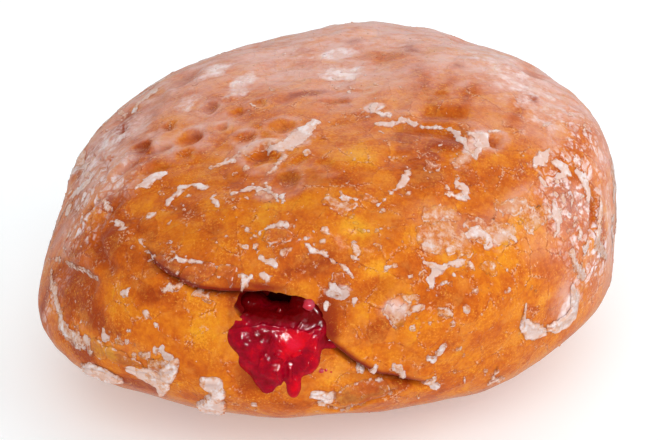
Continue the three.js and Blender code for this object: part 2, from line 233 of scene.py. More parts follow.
def form_point(direction):
    """The bare form in these directions from its heart, one row each."""
    d = unit(np.asarray(direction, float))
    rise = np.where(d[..., 2] > 0, DOME_RISE, BELLY_RISE)
    turned = np.arctan2(d[..., 1], d[..., 0]) - math.radians(LONG_WAY)
    radius = PLAN_RADIUS * (1 + OVAL * np.cos(2 * turned) + THREE_SIDED * np.cos(3 * turned))
    across = np.hypot(d[..., 0], d[..., 1]) / radius
    up = np.abs(d[..., 2]) / rise
    p = d * ((across**FULLNESS + up**FULLNESS) ** (-1 / FULLNESS))[..., None]
    wedge = 1 + (WEDGE_RIGHT * p[..., 0] + WEDGE_BACK * p[..., 1]) / PLAN_RADIUS
    p[..., 2] *= np.where(p[..., 2] > 0, wedge, 1)
    p[..., 1] *= DEPTH_SHARE
    p[..., 2] += EQUATOR
    return p


def direction_to(azimuth, height):
    """The direction in which the bare form has this azimuth and height."""
    a = math.radians(azimuth)
    turn = math.atan2(math.sin(a) / DEPTH_SHARE, math.cos(a))
    low, high = 0, math.pi
    for _ in range(HALVINGS):
        polar = (low + high) / 2
        flat = math.sin(polar)
        d = np.array([flat * math.cos(turn), flat * math.sin(turn), math.cos(polar)])
        low, high = (polar, high) if form_point(d)[2] > height else (low, polar)
    return d


@functools.cache
def on_form(azimuth, height):
    return form_point(direction_to(azimuth, height))


def direction_of(p):
    """The direction from the heart that leads to a point on or near the form."""
    d = (p - HEART) / np.array([1, DEPTH_SHARE, 1])
    wedge = 1 + (WEDGE_RIGHT * d[:, 0] + WEDGE_BACK * d[:, 1]) / PLAN_RADIUS
    d[:, 2] /= np.where(d[:, 2] > 0, wedge, 1)
    return d


def smooth_route(points, steps):
    """A Catmull-Rom curve through the points, as steps + 1 rows."""
    points = np.array(points, float)
    ends = [2 * points[0] - points[1], *points, 2 * points[-1] - points[-2]]
    rows = []
    for t in np.linspace(0, len(points) - 1, steps + 1):
        i = min(int(t), len(points) - 2)
        f = t - i
        a, b, c, d = ends[i : i + 4]
        rows.append(
            0.5 * (2 * b + (c - a) * f + (2 * a - 5 * b + 4 * c - d) * f**2
                   + (3 * b - a - 3 * c + d) * f**3)
        )
    return np.array(rows)


def ripple(p, size, seed, waves=14):
    """Smooth random relief from -1 to 1: waves of about this size, in seeded directions."""
    draw = np.random.default_rng(seed)
    total = np.zeros(len(p))
    for _ in range(waves):
        along = unit(draw.normal(size=3)) * 2 * math.pi / (size * draw.uniform(0.75, 1.4))
        total += np.sin(p @ along + draw.uniform(0, 2 * math.pi))
    return np.clip(total / math.sqrt(waves), -2, 2) / 2


def spots(p, table):
    """Soft spots on the form, added up at each point."""
    total = np.zeros(len(p))
    for azimuth, height, side_reach, up_reach, amount in table:
        middle = on_form(azimuth, height)
        side = np.hypot(p[:, 0] - middle[0], p[:, 1] - middle[1])
        total += amount * bell(side, side_reach) * bell(p[:, 2] - middle[2], up_reach)
    return total


def wave_relief(p):
    out = np.zeros(len(p))
    for along, length, height, phase in WAVES:
        out += height * np.sin(2 * math.pi * (p @ np.array(along)) / length + phase)
    return out


def camera_ray(column, row):
    ray = Vector((column - PICTURE[0] / 2, PICTURE[1] / 2 - row, -FOCAL_LENGTH))
    return np.array(camera_turn @ ray.normalized())


def seen_on_form(column, row):
    """The place on the bare form under what the camera sees in this column and row."""
    far = CAMERA_DISTANCE + np.arange(-SEARCH_REACH, SEARCH_REACH, SEARCH_STEP)
    p = np.array(camera_place) + far[:, None] * camera_ray(column, row)
    bare = form_point(direction_of(p))
    skin = np.linalg.norm(bare - HEART, axis=1) + spots(bare, LOBES.values())
    skin += wave_relief(bare)
    above = np.linalg.norm(p - HEART, axis=1) - skin
    first = np.argmax(above < 0) if above.min() < 0 else np.argmin(above)
    return bare[first]


dimples = [(seen_on_form(*at), radius / POINTS_PER_MM, depth) for *at, radius, depth in DIMPLES]
dimples += [(on_form(*at), radius, depth) for *at, radius, depth in DIMPLES_BEHIND]


def dimple_relief(p):
    out = np.zeros(len(p))
    for i, (middle, radius, depth) in enumerate(dimples):
        near = np.where(np.linalg.norm(p - middle, axis=1) < 3.5 * radius)[0]
        if len(near) == 0:
            continue
        uneven = 0.5 * radius * ripple(p[near], 1.6 * radius, 300 + i)
        distance = np.linalg.norm(p[near] - middle, axis=1) + uneven
        out[near] -= depth * bell(distance, 0.7 * radius)
        out[near] += 0.2 * depth * bell(distance - 1.2 * radius, 0.42 * radius)
    return out


def nearest_on(line, p):
    """How far each point is above (+) or below (-) a line on the form, how far along it,
    0 to 1, and the direction up from the line there."""
    best = np.full(len(p), np.inf)
    across = np.zeros(len(p))
    along = np.zeros(len(p))
    uphill = np.zeros((len(p), 3))
    for i, (a, b) in enumerate(zip(line[:-1], line[1:])):
        run = b - a
        share = np.clip(((p - a) @ run) / (run @ run), 0, 1)
        from_line = p - (a + share[:, None] * run)
        distance = np.linalg.norm(from_line, axis=1)
        up = unit(np.cross(unit((a + b) / 2 - HEART), run))
        nearer = distance < best
        best = np.where(nearer, distance, best)
        side = np.where(from_line @ up >= 0, 1, -1)
        across = np.where(nearer, side * distance, across)
        along = np.where(nearer, (i + share) / (len(line) - 1), along)
        uphill[nearer] = up
    return across, along, uphill


crease_lines = []
for route, *_ in CREASES.values():
    places = smooth_route([seen_on_form(*at) for at in route], FOLD_STEPS)
    crease_lines.append(form_point(direction_of(places)))


def crease_move(p):
    """How far each point moves out and how it slides, and how deep in a fold it is, 0 to 1."""
    out = np.zeros(len(p))
    slide = np.zeros((len(p), 3))
    fold = np.zeros(len(p))
    for line, (_, depth, width, brow, lip, sag) in zip(crease_lines, CREASES.values()):
        reach = np.linalg.norm(line - line.mean(0), axis=1).max() + 5 * width
        near = np.where(np.linalg.norm(p - line.mean(0), axis=1) < reach)[0]
        if len(near) == 0:
            continue
        across, along, uphill = nearest_on(line, p[near])
        across = across + 0.25 * width * ripple(p[near], 5, 21)
        fade = smooth(along, 0, FOLD_FADE) * smooth(1 - along, 0, FOLD_FADE)
        out[near] -= depth * fade * bell(across, width)
        out[near] += brow * fade * bell(across - 2.4 * width, 1.5 * width)
        out[near] += lip * fade * bell(across + 2 * width, 1.2 * width)
        fall = sag * fade * bell(across - 1.5 * width, 1.2 * width)
        slide[near] -= uphill * fall[:, None]
        deep = fade * min(1, depth / 2) * bell(across - 0.1 * width, 1.2 * width)
        fold[near] = np.maximum(fold[near], deep)
    return out, slide, fold


def fine_relief(p):
    """The unevenness of fried skin under a thin glaze."""
    dome = smooth(p[:, 2], 30, 42)
    left = smooth(-p[:, 0], 20, 40)
    return sum((height + on_dome * dome + at_left * left) * ripple(p, size, seed)
               for seed, (size, height, on_dome, at_left) in enumerate(UNEVENNESS, 1))


def crust_point(direction):
    p = form_point(direction)
    out, slide, _ = crease_move(p)
    relief = spots(p, LOBES.values()) + dimple_relief(p) + wave_relief(p) + fine_relief(p) + out
    p = p + unit(p - HEART) * relief[:, None] + slide
    p[:, 2] = np.maximum(p[:, 2], 0)
    return p


def outward(p):
    """The direction straight out of the crust, near enough, at points on or near it."""
    return unit((p - HEART) / CRUST_HALF**2)


def under(p):
    """The places on the bare form that the relief of the crust carries to these points."""
    start = p.copy()
    for _ in range(CORRECTIONS):
        start = start - CORRECTION_SHARE * (crust_point(direction_of(start)) - p)
    return form_point(direction_of(start))


def ball(bm, cuts):
    """A ball of even squares: a subdivided cube whose corners are then pushed out."""
    bmesh.ops.create_cube(bm, size=2)
    bmesh.ops.subdivide_edges(bm, edges=bm.edges[:], cuts=cuts, use_grid_fill=True)
    for v in bm.verts:
        v.co = Vector([math.tan(c * math.pi / 4) for c in v.co]).normalized()


def rows_of(bm):
    return np.array([v.co[:] for v in bm.verts])


def put_rows(bm, rows):
    for v, row in zip(bm.verts, rows):
        v.co = row


def piece_from(name, bm):
    mesh = bpy.data.meshes.new(name)
    bm.to_mesh(mesh)
    bm.free()
    mesh.polygons.foreach_set("use_smooth", [True] * len(mesh.polygons))
    piece = bpy.data.objects.new(name, mesh)
    bpy.context.scene.collection.objects.link(piece)
    return piece


def apply_modifiers(piece):
    bpy.context.view_layer.update()
    seen = piece.evaluated_get(bpy.context.evaluated_depsgraph_get())
    mesh = bpy.data.meshes.new_from_object(seen)
    piece.modifiers.clear()
    mesh.polygons.foreach_set("material_index", [0] * len(mesh.polygons))
    mesh.polygons.foreach_set("use_smooth", [True] * len(mesh.polygons))
    mesh.materials.clear()
    for material in piece.data.materials:
        mesh.materials.append(material)
    piece.data = mesh


hole_point = on_form(HOLE_AZIMUTH, HOLE_HEIGHT)
hole_turn = math.radians(HOLE_AZIMUTH)
hole_out = np.array([math.cos(hole_turn), math.sin(hole_turn), 0])
hole_right = np.array([-hole_out[1], hole_out[0], 0])

dough_bm = bmesh.new()
ball(dough_bm, CUBE_CUTS)
crowd = unit(hole_point - HEART) * CROWDING
put_rows(dough_bm, form_point(rows_of(dough_bm) + crowd))
middle = Vector(hole_point + hole_right * HALVED_SHIFT)
halved = [e for e in dough_bm.edges
          if ((e.verts[0].co + e.verts[1].co) / 2 - middle).length < HALVED_REACH]
bmesh.ops.subdivide_edges(dough_bm, edges=halved, cuts=1, use_grid_fill=True)
put_rows(dough_bm, crust_point(direction_of(rows_of(dough_bm))))
bmesh.ops.recalc_face_normals(dough_bm, faces=dough_bm.faces[:])

dough_rows = rows_of(dough_bm)
crust_tree = BVHTree.FromBMesh(dough_bm)


def seen_at(column, row, tree=crust_tree):
    """The point that the camera sees in this column and row, or the nearest past the outline."""
    ray = Vector(camera_ray(column, row))
    hit = tree.ray_cast(camera_place, ray)[0]
    if hit is None:
        steps = [camera_place + ray * (CAMERA_DISTANCE + far)
                 for far in range(-SEARCH_REACH, SEARCH_REACH + 1, COARSE_STEP)]
        hit = min((tree.find_nearest(step) for step in steps), key=lambda near: near[3])[0]
    return np.array(hit)


# The form is built round its heart, and the frame round the middle of its outline.
low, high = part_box("dough")
seat = (np.array(low) + np.array(high)) / 2 / MM - (dough_rows.min(0) + dough_rows.max(0)) / 2
seat[2] = 0


def place(bm):
    """Puts a finished bmesh, in millimetres round the heart, in the frame, in metres."""
    bmesh.ops.translate(bm, verts=bm.verts[:], vec=Vector(seat))
    bmesh.ops.scale(bm, verts=bm.verts[:], vec=(MM, MM, MM))


def combine(piece, bm, operation):
    """Joins a closed bmesh to a piece, or cuts it out of the piece."""
    other = piece_from("other", bm)
    cut = piece.modifiers.new("cut", "BOOLEAN")
    cut.operation = operation
    cut.solver = "MANIFOLD"
    cut.object = other
    apply_modifiers(piece)
    bpy.data.objects.remove(other)


def set_attribute(piece, name, values):
    attribute = piece.data.attributes.new(name, "FLOAT", "POINT")
    attribute.data.foreach_set("value", np.asarray(values, np.float32))


def mesh_rows(piece):
    co = np.zeros(len(piece.data.vertices) * 3)
    piece.data.vertices.foreach_get("co", co)
    return co.reshape(-1, 3) / MM - seat


def at_hole(right, out, height):
    p = hole_point + hole_right * right + hole_out * out
    return np.array([p[0], p[1], height])


# The mouth of the hole is a flattened ball, dropped to its right, with a ragged edge: middle
# and half sizes right, out and up. Its lip is where the crust turns by more than the angle.
MOUTH_AT, MOUTH_HALF = (-1.2, -1.8, 28.5), (7.0, 6, 2.6)
MOUTH_DROP, MOUTH_RAG = 6, 0.4
LIP_ANGLE, LIP_REACH, LIP_ROUNDING = 0.7, 11, 3
# Where the wall of the hole is painted dark red, in shares of the mouth's half sizes: jelly red,
# and painted shade that deepens further in.
MOUTH_RED_FROM, MOUTH_RED_TO = 1.35, 1.02

place(dough_bm)
dough = piece_from("dough_crust", dough_bm)
mouth_middle = at_hole(*MOUTH_AT)
turn = Matrix([hole_right, hole_out, (0, 0, 1)]).transposed().to_4x4()
matrix = Matrix.Translation(mouth_middle) @ turn @ Matrix.Rotation(math.radians(MOUTH_DROP), 4, "Y")
mouth_bm = bmesh.new()
bmesh.ops.create_icosphere(mouth_bm, subdivisions=5, radius=1,
                           matrix=matrix @ Matrix.Diagonal((*MOUTH_HALF, 1)))
bmesh.ops.recalc_face_normals(mouth_bm, faces=mouth_bm.faces[:])
mouth_rows = rows_of(mouth_bm)
ragged = MOUTH_RAG * (ripple(mouth_rows, 3.2, 61) + 0.5 * ripple(mouth_rows, 1.3, 62))
put_rows(mouth_bm, mouth_rows + unit(mouth_rows - mouth_middle) * ragged[:, None])
place(mouth_bm)
combine(dough, mouth_bm, "DIFFERENCE")

lip_bm = bmesh.new()
lip_bm.from_mesh(dough.data)
middle = Vector((mouth_middle + seat) * MM)
lip = [v for v in lip_bm.verts if (v.co - middle).length < LIP_REACH * MM
       and max(e.calc_face_angle(0) for e in v.link_edges) > LIP_ANGLE]
near_lip = {w for v in lip for e in v.link_edges for w in e.verts}
for _ in range(LIP_ROUNDING):
    bmesh.ops.smooth_vert(lip_bm, verts=list(near_lip), factor=0.5,
                          use_axis_x=True, use_axis_y=True, use_axis_z=True)
lip_bm.to_mesh(dough.data)
lip_bm.free()


# The colour of the crust, as soft spots of azimuth, height, reach sideways, reach up and amount.
FLAKY = [
    (-25, 34, 16, 9, 0.6), (-20, 20, 14, 14, 0.6), (-60, 33, 20, 6, 0.3), (-170, 20, 18, 20, 0.6),
    (-130, 30, 20, 3, 0.3), (-75, 16, 16, 6, 0.1), (-120, 16, 16, 7, -0.35),
    (-90, 44, 30, 4, -0.15), (90, 25, 40, 20, 0.3),
]
# Milky glaze with painted sheen round the sides and the back.
MILK_AND_SHEEN_BEHIND = [
    (-14, 25, 10, 20, 0.3), (-176, 20, 10, 20, 0.35), (90, 36, 40, 14, 0.35), (90, 10, 40, 6, 0.2),
]

# Spots as the camera sees them: column, row, half width and height, then how brown and how milky.
# The brown is browning and also painted shade under ridges, in folds and beside the hole and the
# jelly; the milky is milky glaze and also painted sheen on the top and the rims.
TONES = {
    "under the ridge": (405, 139, 18, 8, 0.5, -0.3),
    "under the ridge, right": (442, 147, 22, 8, 0.55, -0.4),
    "over the ridge": (446, 116, 26, 5, 0.1, -0.6),
    "stripe on the dome": (440, 97, 12, 2.5, 0.3, -0.6),
    "stripe on its right": (466, 101, 14, 2.5, 0.25, -0.5),
    "stripe, far right": (520, 102, 12, 3, 0.3, -0.4),
    "right corner": (580, 144, 13, 9, 0.25, -0.6),
    "amber spot": (386, 57, 8, 4, 0.1, -1),
    "red dot, left": (352, 41, 3, 2, 0.8, -0.6),
    "red dot": (414, 50, 3, 2, 0.8, -0.6),
    "red dot, right": (460, 65, 3, 2, 0.7, -0.5),
    "red dot, low": (534, 98, 4, 2, 0.9, -0.6),
    "brown streak": (422, 79, 10, 3, 0.4, -0.4),
    "dark tick": (310, 93, 2, 4, 1.2, -0.5),
    "wrinkle before the dome": (336, 103, 14, 2.5, 0.35, -0.5),
    "band before the dome": (360, 116, 24, 5, 0.25, -0.4),
    "over the arch": (286, 181, 14, 8, 0.5, -0.3),
    "left patch": (187, 212, 17, 9, 0.5, -0.1),
    "by the arch": (242, 187, 12, 6, 0.35, 0),
    "left brow": (214, 229, 12, 7, 0.35, 0),
    "over the hole": (314, 262, 20, 12, 0.3, 0),
    "over the hole, low": (296, 275, 15, 7, 0.45, 0),
    "left of the wedge, dark": (262, 158, 14, 7, 0.12, -0.6),
    "shade at the left": (106, 242, 9, 14, 0.5, -0.4),
    "left flank": (80, 296, 24, 24, 0.6, -0.2),
    "left heel": (81, 352, 15, 6, 0.6, -0.2),
    "under the drips": (140, 384, 24, 6, 0.7, -0.3),
    "under the drips, right": (190, 396, 14, 5, 0.4, 0),
    "right of the hole": (326, 318, 8, 24, 1.1, -0.2),
    "right of the hole, wide": (342, 312, 12, 18, 0.35, 0),
    "right belly": (378, 332, 22, 14, 0.4, 0),
    "end of the lower fold": (402, 381, 22, 5, 0.5, 0),
    "beside the jelly": (247, 380, 8, 14, 0.5, 0),
    "under the jelly": (285, 405, 20, 5, 0.2, 0),
    "right brow": (425, 178, 26, 18, 0.3, 0),
    "right brow, far": (500, 180, 26, 16, 0.2, 0),
    "right flank": (598, 215, 5, 36, 0.4, -0.5),
    "right flank, middle": (566, 205, 16, 22, 0.35, 0),
    "right low": (505, 330, 30, 12, 0.15, 0),
    "along the upper fold": (166, 266, 22, 7, 0.4, 0),
    "left shoulder": (116, 200, 12, 14, 0.35, -0.1),
    "left shoulder, low": (130, 222, 12, 10, 0.3, -0.1),
    "left rim": (88, 160, 6, 18, 0.6, -0.3),
    "left edge": (45, 300, 4, 28, 0.5, -0.3),
    "brow streak": (345, 180, 24, 5, 0.2, 0),
    "belly": (192, 318, 46, 22, -0.27, -0.1),
    "belly, bright": (208, 342, 24, 16, -0.2, 0),
    "belly, left": (124, 308, 18, 9, -0.15, 0),
    "over the belly": (128, 262, 26, 18, 0.4, 0),
    "left waist, brown": (88, 250, 22, 22, 0.35, -0.1),
    "over the hole, gold": (352, 226, 18, 9, -0.45, 0),
    "under the arch": (278, 206, 18, 7, -0.45, 0),
    "right of the arch": (305, 199, 14, 6, -0.35, 0),
    "gold by the T": (378, 271, 16, 8, -0.4, 0),
    "brown under the T": (446, 298, 24, 9, 0.3, 0),
    "gold above the fold": (190, 240, 14, 6, -0.2, 0),
    "gold on the brow": (362, 155, 28, 12, -0.4, 0),
    "gold streak": (453, 207, 14, 3.5, -0.35, 0),
    "gold beside the leaf": (548, 294, 14, 8, -0.3, 0.05),
    "gold low": (215, 385, 10, 8, -0.4, 0),
    "gold over the tongue": (330, 370, 18, 9, -0.25, 0.05),
    "lower rim": (500, 372, 50, 7, 0.05, 0),
    "lower rim, middle": (440, 392, 36, 4, 0.1, 0.05),
    "lower lip": (355, 398, 40, 9, 0.3, 0),
    "left flank's veil": (56, 305, 5, 32, 0, 0.1),
    "left high veil": (114, 152, 20, 28, 0, 0.9),
    "left edge's veil": (66, 236, 10, 22, 0, 0.35),
    "right rim's veil": (611, 240, 5, 26, 0, 0.6),
    "right flank's veil": (575, 250, 22, 40, 0, 0.15),
    "satin patch": (537, 243, 15, 16, -0.1, 0.15),
    "pink patch": (515, 202, 22, 8, 0, 0.4),
    "wide film": (456, 230, 26, 12, 0, 0.2),
    "wide film, left": (430, 212, 22, 8, 0, 0.2),
    "cloud at the crack": (396, 308, 10, 9, -0.1, 0.6),
    "cloud on the leaf": (563, 302, 8, 18, 0, 0.6),
    "veil low on the left": (110, 345, 30, 8, -0.2, 0.05),
    "low left, brown": (100, 324, 18, 12, 0.6, -0.1),
    "before the dome, gold": (335, 152, 44, 20, -0.05, -0.3),
    "by the sliver, gold": (325, 196, 20, 10, 0, -0.2),
    "left top": (185, 104, 40, 20, 0.1, -0.32),
    "veil under the arch": (266, 197, 13, 5, 0, 0.4),
    "veil by the wedge": (252, 148, 22, 6, 0, 0.6),
    "veil on the left brow": (225, 155, 14, 5, 0, 0.35),
    "ring of a dimple": (190, 124, 18, 4, 0, 0.5),
    "ring of a dimple, right": (244, 128, 14, 3.5, 0, 0.4),
    "ring of a dimple, left": (140, 130, 12, 5, 0, 0.5),
    "ring of the hollow": (487, 134, 14, 8, 0, 0.3),
    "smear by the sliver": (342, 204, 14, 6, 0, 0.1),
    "dimple, far left": (142, 149, 9, 7, 0.5, -0.9),
    "dimple above it": (124, 130, 8, 6, 0.6, -0.9),
    "veil between the dimples": (167, 150, 9, 6, -0.1, 0.6),
    "veil over the dimples": (215, 119, 14, 6, 0, 0.45),
    "right flank's veil, high": (570, 205, 16, 22, 0, 0.3),
    "left edge, brown": (77, 205, 9, 14, 0.45, -0.4),
    "waist by the fold": (112, 240, 12, 12, 0.25, -0.1),
    "in the upper fold": (178, 273, 17, 4, 0.8, -0.3),
    "top of the belly": (158, 299, 22, 9, 0.5, 0),
    "under the ridge, low": (402, 151, 16, 6, 0.35, -0.2),
}
TONE_WARP, TONE_WARP_SIZE, TONE_WARP_SEEDS = 0.8, 5, (51, 52, 53)

# Where glaze is thick and white, and where it is crazed all over, seen in the same way: column,
# row, half width and height, then how white and how crazed.
SUGAR = {
    "top left": (217, 69, 7, 3.5, 0.6, 0),
    "under it": (243, 83, 9, 3.5, 0.6, 0),
    "top": (336, 55, 7, 3, 0.65, 0),
    "top, low": (343, 74, 6, 4, 0.65, 0),
    "before the dome": (374, 107, 7, 4, 0.8, 0),
    "before the dome, right": (388, 116, 6, 3, 0.6, 0),
    "ring of a blister": (189, 101, 9, 4, 0.4, 0),
    "wedge": (296, 138, 18, 12, 0.5, 0),
    "left of the wedge": (262, 142, 16, 6, 0.35, 0),
    "top right": (500, 62, 40, 12, 0.4, 0),
    "top right, low": (540, 96, 26, 12, 0.05, 0),
    "corner of the wrinkle": (481, 141, 13, 9, 0.5, 0),
    "right brow": (460, 160, 13, 7, 0.35, 0),
    "right rim, high": (588, 132, 14, 14, 0.1, 0.5),
    "right rim, above": (556, 104, 18, 7, 0, 0.25),
    "right shoulder": (563, 178, 20, 18, 0.05, 0.75),
    "right flank": (572, 212, 18, 30, 0, 0.9),
    "right flank, low": (592, 262, 18, 30, 0.15, 1),
    "right edge": (604, 225, 8, 44, 0.2, 0.5),
    "right rim": (606, 175, 8, 40, 0, 0.35),
    "right leaf": (570, 305, 9, 17, 0.75, 0),
    "right leaf, low": (560, 322, 12, 7, 0.5, 0),
    "left leaf": (533, 328, 12, 7, 0.4, 0),
    "film, left knot": (428, 246, 12, 8, 0.3, 0.3),
    "film, middle knot": (484, 238, 16, 10, 0.35, 0.4),
    "film, right knot": (506, 234, 12, 8, 0.3, 0.3),
    "cloud at the crack": (396, 308, 12, 12, 0.45, 0),
    "left flank": (53, 300, 6, 36, 0.2, 0.5),
    "left heel": (72, 334, 16, 9, 0, 0.25),
    "left shoulder": (90, 190, 18, 26, 0.15, 0.9),
    "left shoulder, low": (80, 226, 16, 20, 0.1, 0.8),
    "left shoulder, inner": (118, 172, 14, 14, 0.1, 0.5),
    "left rim": (101, 148, 8, 30, 0.45, 0.6),
    "drips": (160, 374, 18, 8, 0.5, 0),
    "drips, left": (100, 370, 16, 6, 0.5, 0),
    "flake over the hole": (338, 290, 13, 7, 0.4, 0),
    "lower lip": (340, 398, 18, 7, 0.1, 0),
}
LEAST_TILT, SPOT_DEPTH = 0.25, 8

# Crust that the jelly has stained: column, row, half width and height, amount.
STAINS = {
    "right of the mouth": (326, 314, 8, 14, 0.7),
    "right of the jelly": (330, 334, 10, 9, 0.7),
    "left of the mouth": (234, 296, 7, 11, 0.7),
    "over the mouth": (264, 286, 24, 5, 0.9),
    "left of the jelly": (232, 316, 6, 8, 0.4),
}


def tangents(p):
    """The directions out of the crust, sideways on it and up it at a point."""
    out = outward(p)
    side = unit(np.cross([0, 0, 1], out))
    return out, side, np.cross(out, side)


def seen_spots(p, table, tree=crust_tree):
    """Soft spots with a middle and a size that the camera sees, added up at each point: one row
    for each amount that the spots in the table have."""
    total = 0
    for column, row, half_width, half_height, *amounts in table.values():
        middle = seen_at(column, row, tree)
        out, side, up = tangents(middle)
        away = p - middle
        across = away @ side * POINTS_PER_MM * max(side[0], LEAST_TILT) / half_width
        rise = away @ up * POINTS_PER_MM * max(up @ camera_up, LEAST_TILT) / half_height
        share = np.exp(-np.hypot(across, rise) ** 3) * bell(away @ out, SPOT_DEPTH)
        total = total + np.outer(amounts, share)
    return total


def colour_crust(piece):
    """Stores what the crust's colour is made from: browning and painted shade, milky glaze and
    painted sheen, painted shade in the folds, and the mouth's dark red with painted shade deep in
    the hole.
    """
    rows = mesh_rows(piece)
    bare = form_point(direction_of(rows))
    _, _, fold = crease_move(bare)
    # How deep in a fold each point is, which paints shade there.
    set_attribute(piece, "fold", fold)
    warped = rows + TONE_WARP * np.stack(
        [ripple(rows, TONE_WARP_SIZE, seed) for seed in TONE_WARP_SEEDS], 1)
    lean = bare[:, 1] + 0.15 * bare[:, 0] + 5 * ripple(bare * [0.6, 1, 1], 12, 31)
    dimpled = dimple_relief(bare)
    pit = np.clip(-dimpled, 0, 1)
    ring = np.clip(6 * dimpled, 0, 1)
    browner_and_shade, milk_and_sheen_spots = seen_spots(warped, TONES)
    white, frost = seen_spots(warped, SUGAR)
    stain = seen_spots(warped, STAINS)[0]
    # Brown: browning, darker in the pits, with painted shade from the spots.
    brown = 0.5 + 0.3 * pit + browner_and_shade
    # Milky glaze with painted sheen: paler towards the back and the top, where they face the soft
    # box behind, painted sheen on the rims of the dimples, and none in the pits.
    milk_and_sheen = 0.8 * smooth(lean, -17, 13) * smooth(bare[:, 2], 24, 40)
    milk_and_sheen += 0.6 * ring * smooth(bare[:, 2], 34, 42)
    milk_and_sheen += np.clip(spots(bare, MILK_AND_SHEEN_BEHIND), 0, 0.8) + milk_and_sheen_spots
    set_attribute(piece, "white", np.clip(white, 0, 1) * (1 - 0.85 * pit))
    set_attribute(piece, "frost", np.clip(frost, 0, 1))
    set_attribute(piece, "stain", np.clip(stain, 0, 1))
    set_attribute(piece, "brown", brown)
    set_attribute(piece, "milk_and_sheen", np.clip(milk_and_sheen, 0, 1) * (1 - 0.85 * pit))
    set_attribute(piece, "flaky", np.clip(0.3 + spots(bare, FLAKY), 0, 1))
    # The wall of the hole, painted dark red the deeper it lies: jelly red and painted shade.
    away = rows - mouth_middle
    local = np.stack([away @ hole_right, away @ hole_out, away[:, 2]], 1) / MOUTH_HALF
    inside = smooth(-np.linalg.norm(local, axis=1), -MOUTH_RED_FROM, -MOUTH_RED_TO)
    depth = np.linalg.norm(crust_point(direction_of(rows)) - rows, axis=1)
    set_attribute(piece, "mouth", inside * smooth(depth, 0.2, 1.6))


class Shader:
    """A material's node tree, with short calls that add nodes and link them."""

    def __init__(self, name):
        self.material = bpy.data.materials.new(name)
        self.material.use_nodes = True
        self.tree = self.material.node_tree
        self.surface = self.tree.nodes["Principled BSDF"]

    def add(self, kind, inputs=None, **settings):
        node = self.tree.nodes.new(kind)
        for key, value in settings.items():
            setattr(node, key, value)
        for key, value in (inputs or {}).items():
            self.feed(node.inputs[key], value)
        return node

    def feed(self, socket, value):
        if isinstance(value, bpy.types.NodeSocket):
            self.tree.links.new(value, socket)
        else:
            socket.default_value = value

    def set(self, **inputs):
        for key, value in inputs.items():
            self.feed(self.surface.inputs[key.replace("_", " ")], value)

    def place(self):
        return self.add("ShaderNodeTexCoord").outputs["Object"]

    def attribute(self, name):
        return self.add("ShaderNodeAttribute", attribute_name=name).outputs["Fac"]

    def noise(self, size, detail=3, roughness=0.55, warp=0, at=None):
        inputs = {"Scale": 1 / (size * MM), "Detail": detail, "Roughness": roughness,
                  "Distortion": warp, "Vector": at or self.place()}
        return self.add("ShaderNodeTexNoise", inputs).outputs["Fac"]

    def cells(self, size, feature="F1", at=None, output="Distance"):
        inputs = {"Scale": 1 / (size * MM), "Vector": at or self.place()}
        return self.add("ShaderNodeTexVoronoi", inputs, feature=feature).outputs[output]

    def bent(self, amount, size):
        """Object coordinates pushed about by noise, so that what is drawn on them is ragged."""
        inputs = {"Scale": 1 / (size * MM), "Detail": 4, "Vector": self.place()}
        push = self.add("ShaderNodeTexNoise", inputs).outputs["Color"]
        scaled = self.add("ShaderNodeVectorMath", {0: push, 1: (amount * MM,) * 3},
                          operation="MULTIPLY")
        return self.add("ShaderNodeVectorMath", {0: self.place(), 1: scaled.outputs[0]}).outputs[0]

    def stretched(self, share):
        """Object coordinates that draw a pattern out sideways."""
        scaled = self.add("ShaderNodeVectorMath", {0: self.place(), 1: (share, 1, 1)},
                          operation="MULTIPLY")
        return scaled.outputs[0]

    def math(self, operation, a, b):
        return self.add("ShaderNodeMath", {0: a, 1: b}, operation=operation).outputs[0]

    def plus(self, *values):
        total = values[0]
        for value in values[1:]:
            total = self.math("ADD", total, value)
        return total

    def times(self, *values):
        total = values[0]
        for value in values[1:]:
            total = self.math("MULTIPLY", total, value)
        return total

    def mottle(self, amount, *size_and_kind):
        """Noise that varies by this much, round zero."""
        return self.times(self.plus(self.noise(*size_and_kind), -0.5), amount)

    def span(self, value, low, high, to_low=0.0, to_high=1.0):
        inputs = {"Value": value, "From Min": low, "From Max": high,
                  "To Min": to_low, "To Max": to_high}
        node = self.add("ShaderNodeMapRange", inputs, interpolation_type="SMOOTHSTEP")
        return node.outputs["Result"]

    def ramp(self, value, stops):
        node = self.add("ShaderNodeValToRGB", {"Fac": value})
        elements = node.color_ramp.elements
        while len(elements) < len(stops):
            elements.new(0.5)
        for element, (position, colour) in zip(elements, stops):
            element.position = position
            element.color = (*colour, 1)
        return node.outputs["Color"]

    def mix(self, amount, a, b):
        node = self.add("ShaderNodeMix", data_type="RGBA")
        for socket, value in zip((node.inputs[0], node.inputs[6], node.inputs[7]), (amount, a, b)):
            self.feed(socket, (*value, 1) if isinstance(value, tuple) else value)
        return node.outputs[2]

    def bump(self, height, depth):
        inputs = {"Height": height, "Distance": depth * MM, "Strength": 1.0}
        return self.add("ShaderNodeBump", inputs).outputs["Normal"]


CRUST_YELLOW = (0.76, 0.3, 0.012)
CRUST_GOLD = (0.66, 0.18, 0.006)
CRUST_ORANGE = (0.54, 0.105, 0.004)
CRUST_BROWN = (0.34, 0.045, 0.002)
FOLD_SHADE_DARK = (0.2, 0.01, 0.002)
MOUTH_SHADE_RED = (0.22, 0.003, 0.003)
MILK_AND_SHEEN_WHITE = (0.69, 0.39, 0.33)
HAZE_PEACH = (0.72, 0.27, 0.04)
GRAIN_PALE = (0.8, 0.36, 0.04)
FLECK_WHITE = (0.76, 0.44, 0.27)
SUGAR_WHITE = (0.73, 0.48, 0.42)
SUGAR_BRIGHT = (0.85, 0.71, 0.7)
STAIN_RED = (0.22, 0.01, 0.003)

